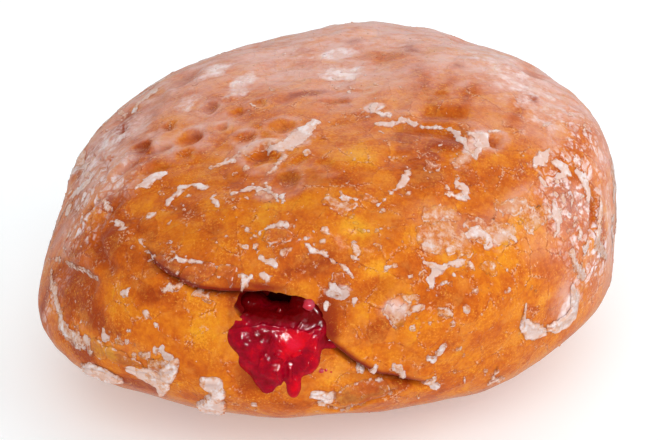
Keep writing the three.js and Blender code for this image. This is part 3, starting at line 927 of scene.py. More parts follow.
# The glaze is crazed in plates, and in smaller ones where it is frosted: their size, and how far
# their edges are bent by noise of what size.
PLATE_SIZE, PLATE_BEND = 4.5, (1.6, 2.4)
FROST_SIZE, FROST_BEND = 2.3, (1.5, 1.3)


def crust_colour(look):
    """Fried skin seen through thin glaze: mottled gold, cracked plates, flecks, milky glaze with
    painted sheen, and painted shade darkening the folds and deep in the mouth.
    """
    bent = look.bent(*PLATE_BEND)
    tone = look.plus(
        look.times(look.attribute("brown"), 0.9), 0.03, look.mottle(0.7, 10, 2),
        look.mottle(0.9, 3, 4, 0.6, 0.5), look.mottle(0.7, 0.7, 3, 0.65),
        look.times(look.plus(look.cells(PLATE_SIZE, "F1", at=bent, output="Color"), -0.5), 0.25),
    )
    colour = look.ramp(tone, [(0.02, CRUST_YELLOW), (0.36, CRUST_GOLD), (0.62, CRUST_ORANGE),
                              (1.0, CRUST_BROWN)])
    flaky = look.attribute("flaky")
    grit = look.noise(0.33, 2, 0.6)
    gritty = look.span(look.noise(3.5, 3), 0.42, 0.62, 0.1, 1)
    colour = look.mix(look.times(look.span(grit, 0.55, 0.66), gritty, 0.5), colour, GRAIN_PALE)
    colour = look.mix(look.times(look.span(grit, 0.45, 0.34), gritty, 0.35), colour, CRUST_BROWN)
    haze = look.times(look.span(look.noise(4.4, 5, 0.6, 0.5), 0.5, 0.62),
                      look.span(look.noise(0.9, 3, 0.6), 0.36, 0.6, 0.3, 1), 0.36)
    colour = look.mix(haze, colour, HAZE_PEACH)
    # Milky glaze with painted sheen, drawn out in streaks.
    streaks = look.noise(3.2, 5, 0.6, 0.3, at=look.stretched(0.55))
    veil = look.plus(look.times(streaks, 1.1), look.times(look.noise(0.9, 4), 0.35))
    veil = look.times(look.attribute("milk_and_sheen"), look.span(veil, 0.5, 0.9, 0.35, 1.1))
    colour = look.mix(veil, colour, MILK_AND_SHEEN_WHITE)
    edge = look.cells(PLATE_SIZE, "DISTANCE_TO_EDGE", at=bent)
    where = look.span(look.plus(look.noise(2.6, 3), look.times(flaky, 0.1)), 0.52, 0.64)
    where = look.times(where, look.span(look.attribute("milk_and_sheen"), 0.15, 0.5, 1, 0))
    crack = look.times(look.span(edge, 0.01, 0.035, 0.6, 0), where)
    colour = look.mix(crack, colour, CRUST_BROWN)
    beads = look.times(look.span(edge, 0.02, 0.13, 1, 0), where,
                       look.span(look.noise(0.4, 2, 0.6), 0.53, 0.6, 0, 0.6))
    flecks = look.plus(look.noise(1.5, 5, 0.7, 1.2), look.times(flaky, 0.1))
    flecks = look.span(flecks, 0.71, 0.75, 0, 0.7)
    colour = look.mix(look.math("MAXIMUM", beads, flecks), colour, FLECK_WHITE)
    plates = look.cells(FROST_SIZE, "DISTANCE_TO_EDGE", at=look.bent(*FROST_BEND))
    frost = look.times(look.span(plates, 0.03, 0.14), look.attribute("frost"),
                       look.span(look.noise(2.4, 4, 0.6), 0.44, 0.56),
                       look.span(look.noise(0.8, 3, 0.6), 0.36, 0.52, 0.4, 1))
    sugar = look.mix(look.span(look.noise(1.8, 4), 0.42, 0.58), SUGAR_WHITE, SUGAR_BRIGHT)
    colour = look.mix(frost, colour, sugar)
    cloud = look.plus(look.noise(2.4, 5, 0.6), look.times(look.noise(0.8, 3), 0.3))
    white = look.plus(look.attribute("white"), look.times(look.plus(cloud, -0.62), 0.8))
    colour = look.mix(look.span(white, 0.25, 0.65, 0, 0.85), colour, sugar)
    colour = look.mix(look.attribute("stain"), colour, STAIN_RED)
    # Painted shade in the folds: brown, then dark where they are deepest.
    fold = look.attribute("fold")
    colour = look.mix(look.span(fold, 0.05, 0.6, 0, 0.75), colour, CRUST_BROWN)
    colour = look.mix(look.span(fold, 0.5, 0.85, 0, 0.9), colour, FOLD_SHADE_DARK)
    # The wall of the hole in dark red, partly painted shade.
    return look.mix(look.attribute("mouth"), colour, MOUTH_SHADE_RED)


def crust_height(look):
    """Low relief of the glaze, in millimetres: crazed plates, grain and blisters."""
    bent = look.bent(*PLATE_BEND)
    plates = look.times(look.cells(PLATE_SIZE, "F1", at=bent, output="Color"), 0.07)
    edge = look.cells(PLATE_SIZE, "DISTANCE_TO_EDGE", at=bent)
    ridges = look.times(look.span(edge, 0.0, 0.05, 1, 0), 0.05)
    frosted = look.cells(FROST_SIZE, "DISTANCE_TO_EDGE", at=look.bent(*FROST_BEND))
    sugar = look.times(look.span(frosted, 0.02, 0.12), look.attribute("frost"), 0.06)
    return look.plus(plates, ridges, sugar, look.times(look.noise(1.5, 4, 0.6), 0.22),
                     look.times(look.noise(0.4, 3), 0.09))


crust = Shader("glazed_crust")
crust.set(Base_Color=crust_colour(crust), Roughness=0.45, Specular_IOR_Level=0.06,
          Coat_Weight=0.42, Coat_Roughness=0.14, Coat_IOR=1.3, Sheen_Weight=0.08,
          Sheen_Roughness=0.35, Subsurface_Weight=0.12,
          Subsurface_Radius=(0.0012, 0.0004, 0.0001), Subsurface_Scale=1.0,
          Normal=crust.bump(crust_height(crust), 1.0))
dough.data.materials.append(crust.material)
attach(dough, "root")
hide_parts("dough")


# ------------------------------------------------------------------ jelly
# The filling is red fruit jelly, pumped in through the hole. What wells out is a soft lump with
# a shelf under the brow, which runs down the lower lip in two drips.

# right, out and height of the middle, then the three radii
LUMPS = {
    "core": (-0.9, -1, 24, 5.9, 4.2, 3.8),
    "left cheek": (-6.4, 0, 24, 2.7, 3, 2.6),
    "right cheek": (3.5, -1.4, 25, 2.9, 3.3, 3),
    "left crest": (-4.6, -1.1, 26.1, 3.1, 2.8, 1.7),
    "right crest": (3, -1.8, 26.6, 3.1, 2.8, 1.6),
    "left shelf": (-5.6, -4.4, 27.5, 2.2, 2.2, 1.5),
    "right shelf": (3.4, -3.4, 27.7, 2.6, 2.4, 1.6),
    "left flank": (-4.7, 0.8, 21.3, 2.7, 2.1, 3.1),
    "chin": (-1.5, 0.5, 19.6, 4.2, 2.4, 3.3),
    "right flank": (2.8, 0.1, 21, 2.7, 2.1, 2.7),
    "left drip": (-2.1, 1, 16.7, 1.9, 1.3, 2.9),
    "left drip's side": (-3.7, 0.8, 18.8, 1.7, 1.5, 2.6),
    "right drip": (1.5, 1.2, 17.1, 1.25, 1.3, 2.7),
    "between the drips": (-0.2, 0.9, 18.1, 1.6, 1.3, 2.6),
    "strand in the fold": (6.2, -1.4, 23.7, 2.7, 1.4, 1.3),
    "right wall of the mouth": (3.4, -4.9, 28.6, 3.3, 2.3, 2.2),
    "floor of the mouth": (-1.4, -4.4, 26, 3, 2.4, 1.8),
}
LUMP_BLEND = 2.7

# Its skin is found from a middle: right, out and height, then the reach it starts from, the step
# inwards and the numbers of steps and of halvings.
JELLY_MIDDLE = (0, -1, 22.5)
JELLY_REACH, JELLY_STEP, JELLY_STEPS, JELLY_HALVINGS = 16.0, 0.25, 60, 10
JELLY_CUTS, JELLY_CROWDING = 84, 0.45

# The pocket inside and the channel to it. What is cut out of the dough for them all is smaller by
# the slack, so that jelly and dough overlap.
POCKET_AT, POCKET_HALF = (0, 0, 22), (24, 21, 9)
CHANNEL_RADIUS, CHANNEL_END, CHANNEL_SIDES = 4.6, (0, -6, 25), 48
SLACK, CUT_OUT_CUTS = 0.15, 24


def lump_field(p, slack):
    """One smooth skin covers all the lumps: it lies where their fields add up to one."""
    field = np.zeros(len(p))
    for right, out, height, *radii in LUMPS.values():
        away = p - at_hole(right, out, height)
        local = np.stack([away @ hole_right, away @ hole_out, away[:, 2]], 1)
        local = local / (np.array(radii) - slack)
        field += np.exp(LUMP_BLEND * (1 - (local**2).sum(1)))
    return field


def welled_jelly(directions, slack):
    """The skin in these directions from the middle of the jelly, found by halving."""
    middle = at_hole(*JELLY_MIDDLE)
    reach = np.full(len(directions), JELLY_REACH)
    for _ in range(JELLY_STEPS):
        outside = lump_field(middle + directions * reach[:, None], slack) < 1
        reach = np.where(outside, reach - JELLY_STEP, reach)
    inside, beyond = reach, reach + JELLY_STEP
    for _ in range(JELLY_HALVINGS):
        half = (inside + beyond) / 2
        outside = lump_field(middle + directions * half[:, None], slack) < 1
        inside, beyond = np.where(outside, inside, half), np.where(outside, half, beyond)
    return middle + directions * inside[:, None]


def stroke_depth(p, nodes, widths):
    """How far inside a stroke of varying half width each point is, in millimetres."""
    depth = widths[0] - np.linalg.norm(p - nodes[0], axis=1)
    for a, b, wide_a, wide_b in zip(nodes[:-1], nodes[1:], widths[:-1], widths[1:]):
        run = b - a
        share = np.clip(((p - a) @ run) / (run @ run), 0, 1)
        distance = np.linalg.norm(p - a - share[:, None] * run, axis=1)
        depth = np.maximum(depth, wide_a + (wide_b - wide_a) * share - distance)
    return depth


# Wrinkles and beads that stand up from the jelly and catch the light: height in mm, then
# columns, rows and half widths in picture points.
JELLY_WRINKLES = {
    "edge of the shelf, left": (0.3, [(231, 331, 2), (243, 329, 2), (255, 328, 2), (263, 325, 2.5),
                                      (270, 327, 2), (284, 329, 1.5)]),
    "edge of the shelf, right": (0.6, [(289, 330, 2.4), (296, 334, 4), (301, 332, 2), (307, 336, 4),
                                       (313, 331, 2.4), (318, 331, 4)]),
    "spur over it": (0.35, [(296, 330, 2), (301, 323, 1.2)]),
    "upper left rim": (0.35, [(229, 328, 1.5), (238, 321, 1.5), (248, 314, 2)]),
    "bead on the shelf": (0.5, [(280, 311, 3)]),
    "thread on the shelf": (0.25, [(290, 304, 1.2), (299, 305, 1.2)]),
    "bead, left": (0.3, [(262, 343, 2.5)]),
    "bead, far left": (0.25, [(256, 336, 2)]),
    "hook": (0.4, [(261, 359, 1.8), (265, 356, 2), (270, 361, 2.8)]),
    "lump in the middle": (0.5, [(279, 354, 3.8), (286, 358, 2.6), (283, 363, 2)]),
    "T under it": (0.5, [(273, 366, 2.4), (279, 367, 3), (281, 376, 2.6)]),
    "streak": (0.5, [(290, 366, 2.6), (290, 378, 2.4)]),
    "bead on the right drip": (0.3, [(296, 379, 2.2)]),
    "tick on the right": (0.4, [(294, 356, 2.4), (300, 353, 2)]),
    "bead on the left flank": (0.2, [(247, 347, 3)]),
    "bead below it": (0.2, [(252, 360, 3)]),
    "bead on the chin": (0.2, [(262, 373, 3)]),
    "bead on the left drip": (0.2, [(271, 388, 2.5)]),
    "bead on the right flank": (0.2, [(312, 349, 3)]),
    "bead at the right": (0.2, [(305, 363, 3)]),
    "cord of the right flank": (0.3, [(316, 338, 2), (312, 352, 2), (303, 368, 2)]),
    "valley between the drips": (-0.2, [(284, 380, 2), (284, 393, 2.5)]),
    "valley on the left": (-0.3, [(268, 338, 3), (262, 352, 3), (256, 366, 2)]),
}
WRINKLE_EDGE, WRINKLE_GAIN = 0.2, 1.5

# Soft lumps where the jelly tore and sagged: height, size, how drawn out they are downwards, seed.
SAGS = [(0.25, 3.4, 0.6, 41), (0.09, 1.7, 0.55, 42), (0.02, 0.8, 1, 43)]


def jelly_relief(p):
    return sum(height * ripple(p * [1, 1, drawn_out], size, seed)
               for height, size, drawn_out, seed in SAGS)


def jelly_solid(cuts, slack, wrinkled):
    """The welled jelly with its channel and the pocket inside, as closed bmeshes."""
    bodies = [bmesh.new() for _ in range(3)]
    ball(bodies[0], cuts)
    directions = unit(rows_of(bodies[0]) + hole_out * JELLY_CROWDING)
    rows = welled_jelly(directions, slack)
    put_rows(bodies[0], rows)
    relief = np.zeros(len(rows))
    if wrinkled:
        relief += jelly_relief(rows)
        skin = BVHTree.FromBMesh(bodies[0])
        for height, places in JELLY_WRINKLES.values():
            nodes = [seen_at(column, row, skin) for column, row, _ in places]
            widths = [width / POINTS_PER_MM for _, _, width in places]
            depth = stroke_depth(rows, nodes, widths)
            relief += WRINKLE_GAIN * height * smooth(depth, -WRINKLE_EDGE, max(widths))
    put_rows(bodies[0], rows + directions * relief[:, None])
    channel_end = Vector(at_hole(*CHANNEL_END))
    run = Vector(POCKET_AT) - channel_end
    matrix = Matrix.Translation((Vector(POCKET_AT) + channel_end) / 2)
    matrix = matrix @ run.to_track_quat("Z", "Y").to_matrix().to_4x4()
    bmesh.ops.create_cone(bodies[1], cap_ends=True, segments=CHANNEL_SIDES, matrix=matrix,
                          radius1=CHANNEL_RADIUS - slack, radius2=CHANNEL_RADIUS - slack,
                          depth=run.length)
    bmesh.ops.create_icosphere(bodies[2], subdivisions=5, radius=1, matrix=(
        Matrix.Translation(POCKET_AT) @ Matrix.Diagonal((*(h - slack for h in POCKET_HALF), 1))))
    for body in bodies:
        place(body)
    return bodies


for part in jelly_solid(CUT_OUT_CUTS, SLACK, wrinkled=False):
    combine(dough, part, "DIFFERENCE")
welled, channel, pocket = jelly_solid(JELLY_CUTS, 0, wrinkled=True)
jelly = piece_from("jelly_welled", welled)
combine(jelly, channel, "UNION")
combine(jelly, pocket, "UNION")
colour_crust(dough)

JELLY_HOLE_SHADE = (0.02, 0.0002, 0.0003)
JELLY_DEEP = (0.15, 0.0008, 0.002)
JELLY_RED = (0.3, 0.0008, 0.012)
JELLY_BRIGHT = (0.6, 0.002, 0.01)
JELLY_PINK = (0.62, 0.008, 0.03)

# Painted light on the jelly where it is thin and light shines through it, and where it is darker,
# as thick jelly and as painted shade under the edge of the shelf and in the fold at its right:
# column, row, half width, half height, amount.
JELLY_TONES = {
    "under the shelf's edge": (298, 340, 12, 8, 0.3),
    "middle": (291, 346, 12, 12, 0.35),
    "right drip": (294, 389, 5, 10, 0.15),
    "upper left": (243, 320, 9, 4, 0.3),
    "right flank": (314, 348, 5, 12, 0.2),
    "left flank": (243, 347, 10, 14, -0.12),
    "left drip": (264, 378, 14, 10, -0.1),
    "under the left edge": (262, 336, 13, 5, -0.2),
    "purple spot": (308, 348, 6, 8, -0.15),
    "strand": (328, 340, 9, 7, -0.35),
}

jelly_rows = mesh_rows(jelly)
jelly_tree = BVHTree.FromPolygons([Vector(row) for row in jelly_rows],
                                  [tuple(face.vertices) for face in jelly.data.polygons])
local_out = (jelly_rows - hole_point) @ hole_out
set_attribute(jelly, "thin", seen_spots(jelly_rows, JELLY_TONES, jelly_tree)[0])
# Painted shade on the jelly: deep darkens the shelf under the brow, dark makes it nearly black deep
# in the hole, and valley darkens the hollows of its relief.
set_attribute(jelly, "deep", smooth(jelly_rows[:, 2] - 0.4 * local_out, 26, 28))
set_attribute(jelly, "dark", smooth(-local_out, 3.4, 6.5))
set_attribute(jelly, "valley", 0.5 - 0.5 * jelly_relief(jelly_rows) / 0.4)

fruit = Shader("fruit_jelly")
redness = fruit.plus(
    fruit.times(fruit.noise(3, 3, warp=1.2), 0.7), fruit.mottle(0.6, 0.9, 4, 0.6),
    # Painted shade: darker in the hollows and on the shelf under the brow.
    fruit.times(fruit.attribute("valley"), -0.15),
    fruit.times(fruit.attribute("deep"), -0.45),
    fruit.attribute("thin"), 0.12)
# The bright and pink end of the ramp is painted light shining through thin jelly; the deep end also
# takes the painted shade.
jelly_colour = fruit.ramp(redness, [(0.0, JELLY_DEEP), (0.35, JELLY_RED),
                                    (0.72, JELLY_BRIGHT), (1.0, JELLY_PINK)])
# Nearly black deep in the hole: painted shade.
jelly_colour = fruit.mix(fruit.attribute("dark"), jelly_colour, JELLY_HOLE_SHADE)
lumps = fruit.plus(fruit.times(fruit.noise(1.3, 2, 0.5, 0.8), 0.2),
                   fruit.times(fruit.noise(0.6, 2), 0.05))
fruit.set(
    Base_Color=jelly_colour, Roughness=0.06, IOR=1.2, Subsurface_Weight=0.4,
    Subsurface_Radius=(0.003, 0.0001, 0.0003), Subsurface_Scale=1.0,
    Normal=fruit.bump(lumps, 1.0))
jelly.data.materials.append(fruit.material)
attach(jelly, "root")
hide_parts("jelly")

# A bead of clear jelly under the brow, and drops that fell on the crust beside the hole.
# Columns, rows and radii in picture points, and how far the middle sinks in, in radii.
DROPS, DROP_SINK = [(321, 371, 2.6), (326, 370, 1.4), (331, 372, 1.2)], 0.3
DROP_RIPPLE, DROP_RIPPLE_SIZE, DROP_SEEDS = 0.12, 1.1, (45, 46, 47)
BEAD_AT, BEAD_RADIUS = (3.4, -2, 29.3), 0.95
drops_bm = bmesh.new()
bmesh.ops.create_icosphere(drops_bm, subdivisions=4, radius=BEAD_RADIUS,
                           matrix=Matrix.Translation(at_hole(*BEAD_AT)))
for column, row, radius in DROPS:
    middle = seen_at(column, row)
    radius = radius / POINTS_PER_MM
    middle = middle - outward(middle) * DROP_SINK * radius
    bmesh.ops.create_icosphere(drops_bm, subdivisions=3, radius=radius,
                               matrix=Matrix.Translation(middle))
drop_rows = rows_of(drops_bm)
put_rows(drops_bm, drop_rows + DROP_RIPPLE * np.stack(
    [ripple(drop_rows, DROP_RIPPLE_SIZE, seed) for seed in DROP_SEEDS], 1))
place(drops_bm)
jelly_drops = piece_from("jelly_drops", drops_bm)
DROP_PINK = (0.42, 0.07, 0.11)
drop_look = Shader("clear_jelly")
drop_colour = drop_look.ramp(drop_look.noise(0.8, 3), [(0.3, JELLY_BRIGHT), (0.7, DROP_PINK)])
drop_look.set(Base_Color=drop_colour, Roughness=0.08, IOR=1.25, Subsurface_Weight=0.5,
              Subsurface_Radius=(0.002, 0.0004, 0.0004), Subsurface_Scale=1.0,
              Normal=drop_look.bump(drop_look.noise(0.4, 2), 0.05))
jelly_drops.data.materials.append(drop_look.material)
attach(jelly_drops, "root")


# ------------------------------------------------------------------ flakes and drips of glaze
# The sugar glaze dried on the warm crust, then cracked and lifted in pale crisp plates, thin
# lines and drips. Each is a stroke laid on the crust, with a ragged border and a real edge.

# Strokes of pale glaze: columns, rows and half widths along each, all in picture points. The
# crust shows through the thin ones.
FLAKES = {
    "wedge over the brow": [(270, 151, 4), (285, 146, 9), (300, 136, 10), (314, 122, 5)],
    "thin tail of the wedge": [(284, 157, 3), (277, 165, 3.5), (271, 172, 2.5), (266, 177, 1.2)],
    "long plate on the left": [(138, 186, 3), (148, 182, 7), (157, 176, 6), (165, 173, 2.5)],
    "torn streak": [(168, 203, 3), (175, 195, 4), (182, 188, 4.5), (192, 185, 1.6), (206, 187, 3)],
    "crumbs of the torn streak": [(213, 197, 3.2), (217, 205, 3)],
    "arched line": [(233, 194, 1.5), (243, 190, 1.6), (252, 188, 3), (262, 189, 2.5),
                    (270, 191, 1.8), (275, 197, 1.4), (279, 203, 1)],
    "thin knot on the arched line": [(266, 183, 1.6), (269, 189, 2.5)],
    "end of the arched line": [(282, 196, 3.4), (285, 201, 2.6)],
    "thin streak on the left brow": [(213, 168, 2), (222, 164, 3), (231, 160, 5), (236, 156, 2)],
    "thin round spot": [(246, 168, 4.5)],
    "thin round spot under the wedge": [(307, 152, 4)],
    "dots before the dome": [(374, 106, 4), (370, 112, 2.5), (388, 116, 3.4)],
    "ridge of the wrinkle": [(378, 124, 2), (392, 124, 3), (405, 120, 4), (414, 125, 3),
                             (425, 127, 1.4), (438, 128, 1.4), (450, 130, 1.8), (458, 134, 2.4),
                             (463, 142, 2.8), (468, 150, 1.4), (474, 158, 1)],
    "corner patch": [(470, 134, 3), (480, 137, 7), (486, 140, 7), (480, 147, 5), (476, 155, 2.4)],
    "edge of the hollow": [(489, 131, 2), (499, 131, 1.6)],
    "bird shaped flake": [(408, 172, 3), (405, 178, 5), (402, 185, 4), (396, 190, 1.8),
                          (390, 194, 1.2), (384, 200, 1.8), (378, 206, 1)],
    "thin pale strip under it": [(401, 195, 2), (408, 193, 2)],
    "pair, upper": [(455, 179, 1.6), (458, 184, 5), (464, 190, 4.5), (467, 196, 3)],
    "thin pair, lower": [(449, 196, 2.6), (457, 197, 4), (464, 199, 3)],
    "thin tick left of the pair": [(443, 190, 1.5), (446, 187, 1)],
    "sliver": [(341, 193, 1.4), (344, 197, 3.2), (350, 198, 2.6), (356, 200, 1)],
    "shoulder flake": [(533, 166, 2.5), (539, 160, 7), (546, 154, 4.5), (549, 148, 1.6)],
    "shoulder hook": [(538, 171, 2.2), (541, 179, 1.6), (546, 187, 1.4)],
    "shoulder plate": [(556, 163, 3.4), (563, 167, 4.5), (568, 172, 4.5), (557, 176, 2.5)],
    "curved band": [(576, 172, 3), (582, 178, 6), (588, 190, 3), (588, 200, 2.6), (584, 208, 1)],
    "thin web, first strand": [(553, 192, 1.4), (560, 196, 1.6), (564, 203, 1.6)],
    "thin web, second strand": [(570, 192, 2.2), (572, 200, 2.2), (571, 208, 1.6)],
    "web, low plate": [(555, 208, 4), (557, 218, 5.5), (558, 230, 2.6), (555, 236, 1)],
    "thin web, knot": [(558, 183, 2.6)],
    "thin web, third strand": [(567, 232, 1.4), (572, 228, 1.6), (577, 222, 1.4)],
    "thin web, spur": [(580, 229, 3), (580, 236, 2)],
    "thin ridge at the right edge": [(600, 198, 1.6), (601, 210, 4), (600, 219, 2.2), (598, 232, 3),
                                     (596, 245, 4), (602, 250, 4.5), (606, 256, 3)],
    "rim at the right edge": [(611, 228, 1.2), (613, 238, 1.8), (612, 248, 2)],
    "thin right patch": [(572, 252, 4.5), (575, 264, 3), (579, 270, 4.5), (584, 275, 2.6)],
    "thin right patch's neighbour": [(585, 247, 2.8), (589, 241, 2)],
    "T, bar": [(424, 262, 3.6), (431, 266, 4), (440, 266, 2.8), (452, 264, 3), (464, 263, 2.6)],
    "T, leg": [(436, 271, 5), (431, 278, 3.6), (431, 286, 2.4)],
    "thin small one by the T": [(472, 265, 3), (475, 270, 2)],
    "thin low crumb": [(440, 311, 3), (447, 312, 3), (452, 314, 1.5)],
    "thin low crumb, right": [(467, 308, 3.2)],
    "thin low crumb, up": [(472, 292, 3), (477, 289, 2.2)],
    "comma": [(442, 347, 3), (438, 352, 1.8), (433, 358, 4), (428, 356, 2)],
    "low pair": [(428, 381, 3.8), (434, 385, 3.8), (437, 388, 1.5)],
    "thin bottom rim": [(486, 384, 2), (494, 380, 3.4), (502, 377, 2)],
    "left tip": [(111, 221, 1.2), (116, 222, 3.2), (120, 226, 3.4), (124, 229, 2)],
    "thin left dash": [(147, 218, 2.2), (152, 216, 2.2), (156, 213, 1.5)],
    "thin left link": [(105, 201, 2), (109, 207, 3.4), (110, 213, 1.6)],
    "left edge patch": [(92, 178, 3), (84, 186, 6.5), (76, 192, 4.5), (70, 199, 2)],
    "thin left speck, high": [(68, 236, 2.8), (65, 240, 2.2)],
    "thin left speck, low": [(91, 237, 1.8)],
    "thin left shoulder line": [(49, 259, 1.6), (60, 259, 1.6), (70, 264, 1.8), (80, 268, 1.8),
                                (90, 273, 2), (98, 279, 1.6)],
    "thin left flank, thick line": [(52, 270, 2), (53, 285, 3.6), (57, 300, 4.6), (61, 313, 4.6),
                                    (62, 324, 6.5), (68, 333, 6), (78, 339, 6.5), (90, 342, 3.5)],
    "thin left flank, spur": [(87, 343, 1.5), (92, 352, 1.5)],
    "left flank, blotch": [(103, 333, 3.2), (107, 336, 3)],
    "thin smear over the drips": [(135, 355, 2.2), (145, 354, 3), (151, 352, 2.2)],
    "smear, right": [(155, 349, 3), (162, 349, 3.4), (167, 355, 2.8), (173, 361, 2)],
    "thin chip": [(182, 386, 1.6), (188, 386, 2)],
    "thin lip line, upper": [(333, 394, 1.2), (343, 389, 0.9), (353, 387, 1.1)],
    "thin lip line, lower": [(322, 401, 0.9), (331, 406, 1), (341, 409, 1.1), (351, 406, 1),
                             (361, 400, 0.9)],
    "thin lip line, right": [(362, 383, 1.1), (372, 381, 1), (382, 382, 1), (391, 391, 0.8)],
    "lip spot": [(253, 403, 3.2), (258, 405, 1.6)],
    "fold crumb": [(393, 367, 1.2), (399, 369, 2.8), (403, 373, 2)],
    "fold crumb, left": [(361, 366, 3.8), (365, 370, 1.6)],
    "fold crumb, low": [(374, 367, 1.6), (372, 374, 1.6)],
    "edge of the upper fold": [(138, 237, 1.1), (143, 245, 1.3), (150, 253, 1.6), (159, 255, 0.9)],
    "plate on the fold": [(174, 252, 1.6), (177, 258, 2), (184, 261, 1.7), (192, 262, 1.5),
                          (199, 262, 1.8), (204, 265, 1.4)],
    "thin plate under the fold": [(166, 288, 2), (172, 288, 3.8), (179, 286, 2)],
    "thin lower plate, right": [(199, 292, 3.8), (205, 297, 2.6), (211, 301, 1.5)],
    "plate hanging in the hole": [(239, 275, 1.2), (244, 279, 3), (245, 283, 3), (251, 276, 1.6)],
    "its right neighbour": [(261, 275, 2.6), (268, 276, 2.2)],
    "brow flake": [(261, 231, 1.6), (268, 228, 3.4), (277, 225, 3.6), (286, 224, 3.2)],
    "thin brow crumb": [(243, 226, 1.8), (247, 229, 1.2)],
    "thin brow blotch": [(245, 246, 3), (250, 250, 1.6), (255, 247, 2.2), (256, 254, 1.4)],
    "brow chip": [(259, 258, 1.2), (266, 261, 2.6), (272, 261, 4), (275, 265, 2)],
    "zigzag": [(301, 232, 1.1), (305, 240, 1.6), (309, 247, 2.8), (315, 252, 2.8),
               (322, 252, 2.2), (329, 258, 1.4), (337, 263, 1.4), (345, 267, 1.1),
               (350, 272, 1.6), (353, 276, 1.5)],
    "thin brow spot": [(325, 231, 3.8)],
    "thin brow smear": [(284, 254, 3), (291, 249, 1.2)],
    "thin middle spot": [(355, 245, 3.4), (356, 255, 3)],
    "thin middle blotch": [(370, 243, 1.4), (378, 245, 2.6), (381, 249, 3.4)],
    "flake over the hole": [(329, 291, 4), (337, 289, 7), (345, 292, 4), (340, 297, 3)],
    "chip right of the hole": [(358, 295, 1.2), (354, 301, 2.4), (353, 307, 1.2)],
    "chip in the hole": [(327, 303, 1.6), (326, 309, 1)],
    "thin plate by the crack": [(402, 296, 2), (409, 298, 4.5), (417, 297, 3.4)],
    "thin plate by the crack, low": [(410, 312, 3.4), (417, 309, 3.8), (422, 307, 2)],
    "thin spot by the T": [(387, 268, 2.2), (395, 265, 2)],
    "thin film knot, left": [(424, 241, 4), (424, 248, 4), (433, 250, 3)],
    "film knot, middle": [(468, 235, 4), (480, 231, 5), (490, 240, 5), (488, 245, 3.4)],
    "thin film knot, right": [(498, 230, 5), (507, 234, 4), (514, 239, 2)],
    "thin pale line": [(520, 222, 1.8), (527, 221, 1.4)],
    "crystal line": [(145, 313, 2.4), (150, 317, 1), (157, 323, 1), (161, 332, 0.8)],
    "crystal": [(121, 293, 2), (125, 293, 4.2)],
}

# Drips of the same, which ran down and set thick and smooth.
DRIPS = {
    "low right, left leaf": [(526, 304, 1.4), (524, 313, 2), (523, 322, 4.5), (530, 329, 7.5),
                             (539, 330, 6), (545, 331, 2)],
    "low right, right leaf": [(572, 287, 3), (575, 300, 6), (573, 310, 7), (566, 319, 6.5),
                              (557, 324, 5.5), (547, 326, 2)],
    "drip, far left": [(84, 366, 4), (94, 369, 8), (106, 373, 9), (117, 377, 5)],
    "drip, pointed": [(128, 366, 2.5), (140, 370, 6), (152, 376, 8), (162, 380, 8.5),
                      (161, 391, 3)],
    "drip, its right arm": [(166, 374, 7), (172, 367, 5.5), (176, 360, 3)],
    "drip by the jelly": [(206, 382, 6), (216, 383, 6.5), (218, 391, 6), (213, 399, 6),
                          (206, 405, 9), (215, 408, 8), (222, 402, 4)],
    "lip drip": [(313, 393, 2), (322, 393, 3.4), (329, 396, 4), (333, 391, 1.5)],
}

# Thin milky films between them, laid in the same way.
FILMS = {
    "film left of the wedge": [(240, 156, 4), (252, 148, 8), (266, 144, 8), (276, 142, 5)],
    "film under the arch": [(262, 194, 4), (268, 198, 5), (272, 200, 2)],
    "film on the right brow": [(455, 165, 4), (463, 158, 7), (470, 154, 4)],
    "film spot": [(430, 167, 6), (436, 168, 5)],
    "film by the sliver": [(328, 200, 5), (342, 208, 7), (352, 205, 5)],
    "film by the bird": [(366, 198, 5), (374, 200, 5)],
    "wide film, left": [(424, 232, 9), (432, 240, 12), (445, 232, 12), (455, 240, 13),
                        (465, 245, 9)],
    "wide film, middle": [(430, 215, 9), (442, 212, 8), (455, 217, 6)],
    "wide film, right": [(472, 226, 8), (486, 232, 13), (500, 234, 12), (510, 230, 7)],
    "film on the shoulder": [(500, 208, 5), (512, 208, 9), (522, 202, 6), (530, 222, 9),
                             (545, 212, 8)],
    "film by the T": [(487, 267, 6), (491, 269, 6)],
    "film at the crack": [(389, 310, 6), (397, 318, 8), (405, 310, 6)],
    "film of the drips": [(150, 362, 5), (162, 366, 8), (172, 366, 5)],
}

# Clear brown plates of their own, of which little but the broken edge shows.
PLATES = {
    "plate over the hole": [(338, 280, 6), (344, 284, 5)],
    "plate on the brow": [(272, 236, 8), (285, 236, 7)],
    "plate at the lower left": [(96, 345, 7), (102, 350, 7)],
    "plate on the lower lip": [(345, 396, 8), (362, 392, 9), (380, 390, 8)],
    "plate beside the mouth": [(222, 270, 6), (230, 272, 7)],
    "plate at the fold": [(186, 275, 5), (197, 271, 8), (209, 269, 7)],
    "plate at the left": [(110, 352, 6), (125, 360, 7), (138, 364, 4)],
    "plate at the end of the fold": [(158, 260, 3), (168, 264, 4), (178, 268, 3)],
}


def rag(p, amount, seed):
    """A torn border: sharp bites of two sizes."""
    bites = 1.5 * np.abs(ripple(p, 2.6, seed)) + 0.9 * ripple(p, 1.2, seed + 1)
    return amount * (bites - 0.42 - 0.8 * np.abs(ripple(p, 0.8, seed + 2)))


SLOPE_STEP, LEAST_SLOPE = 0.04, 0.2
UNDERSIDE = 0.3
SHARP_EDGE = 40


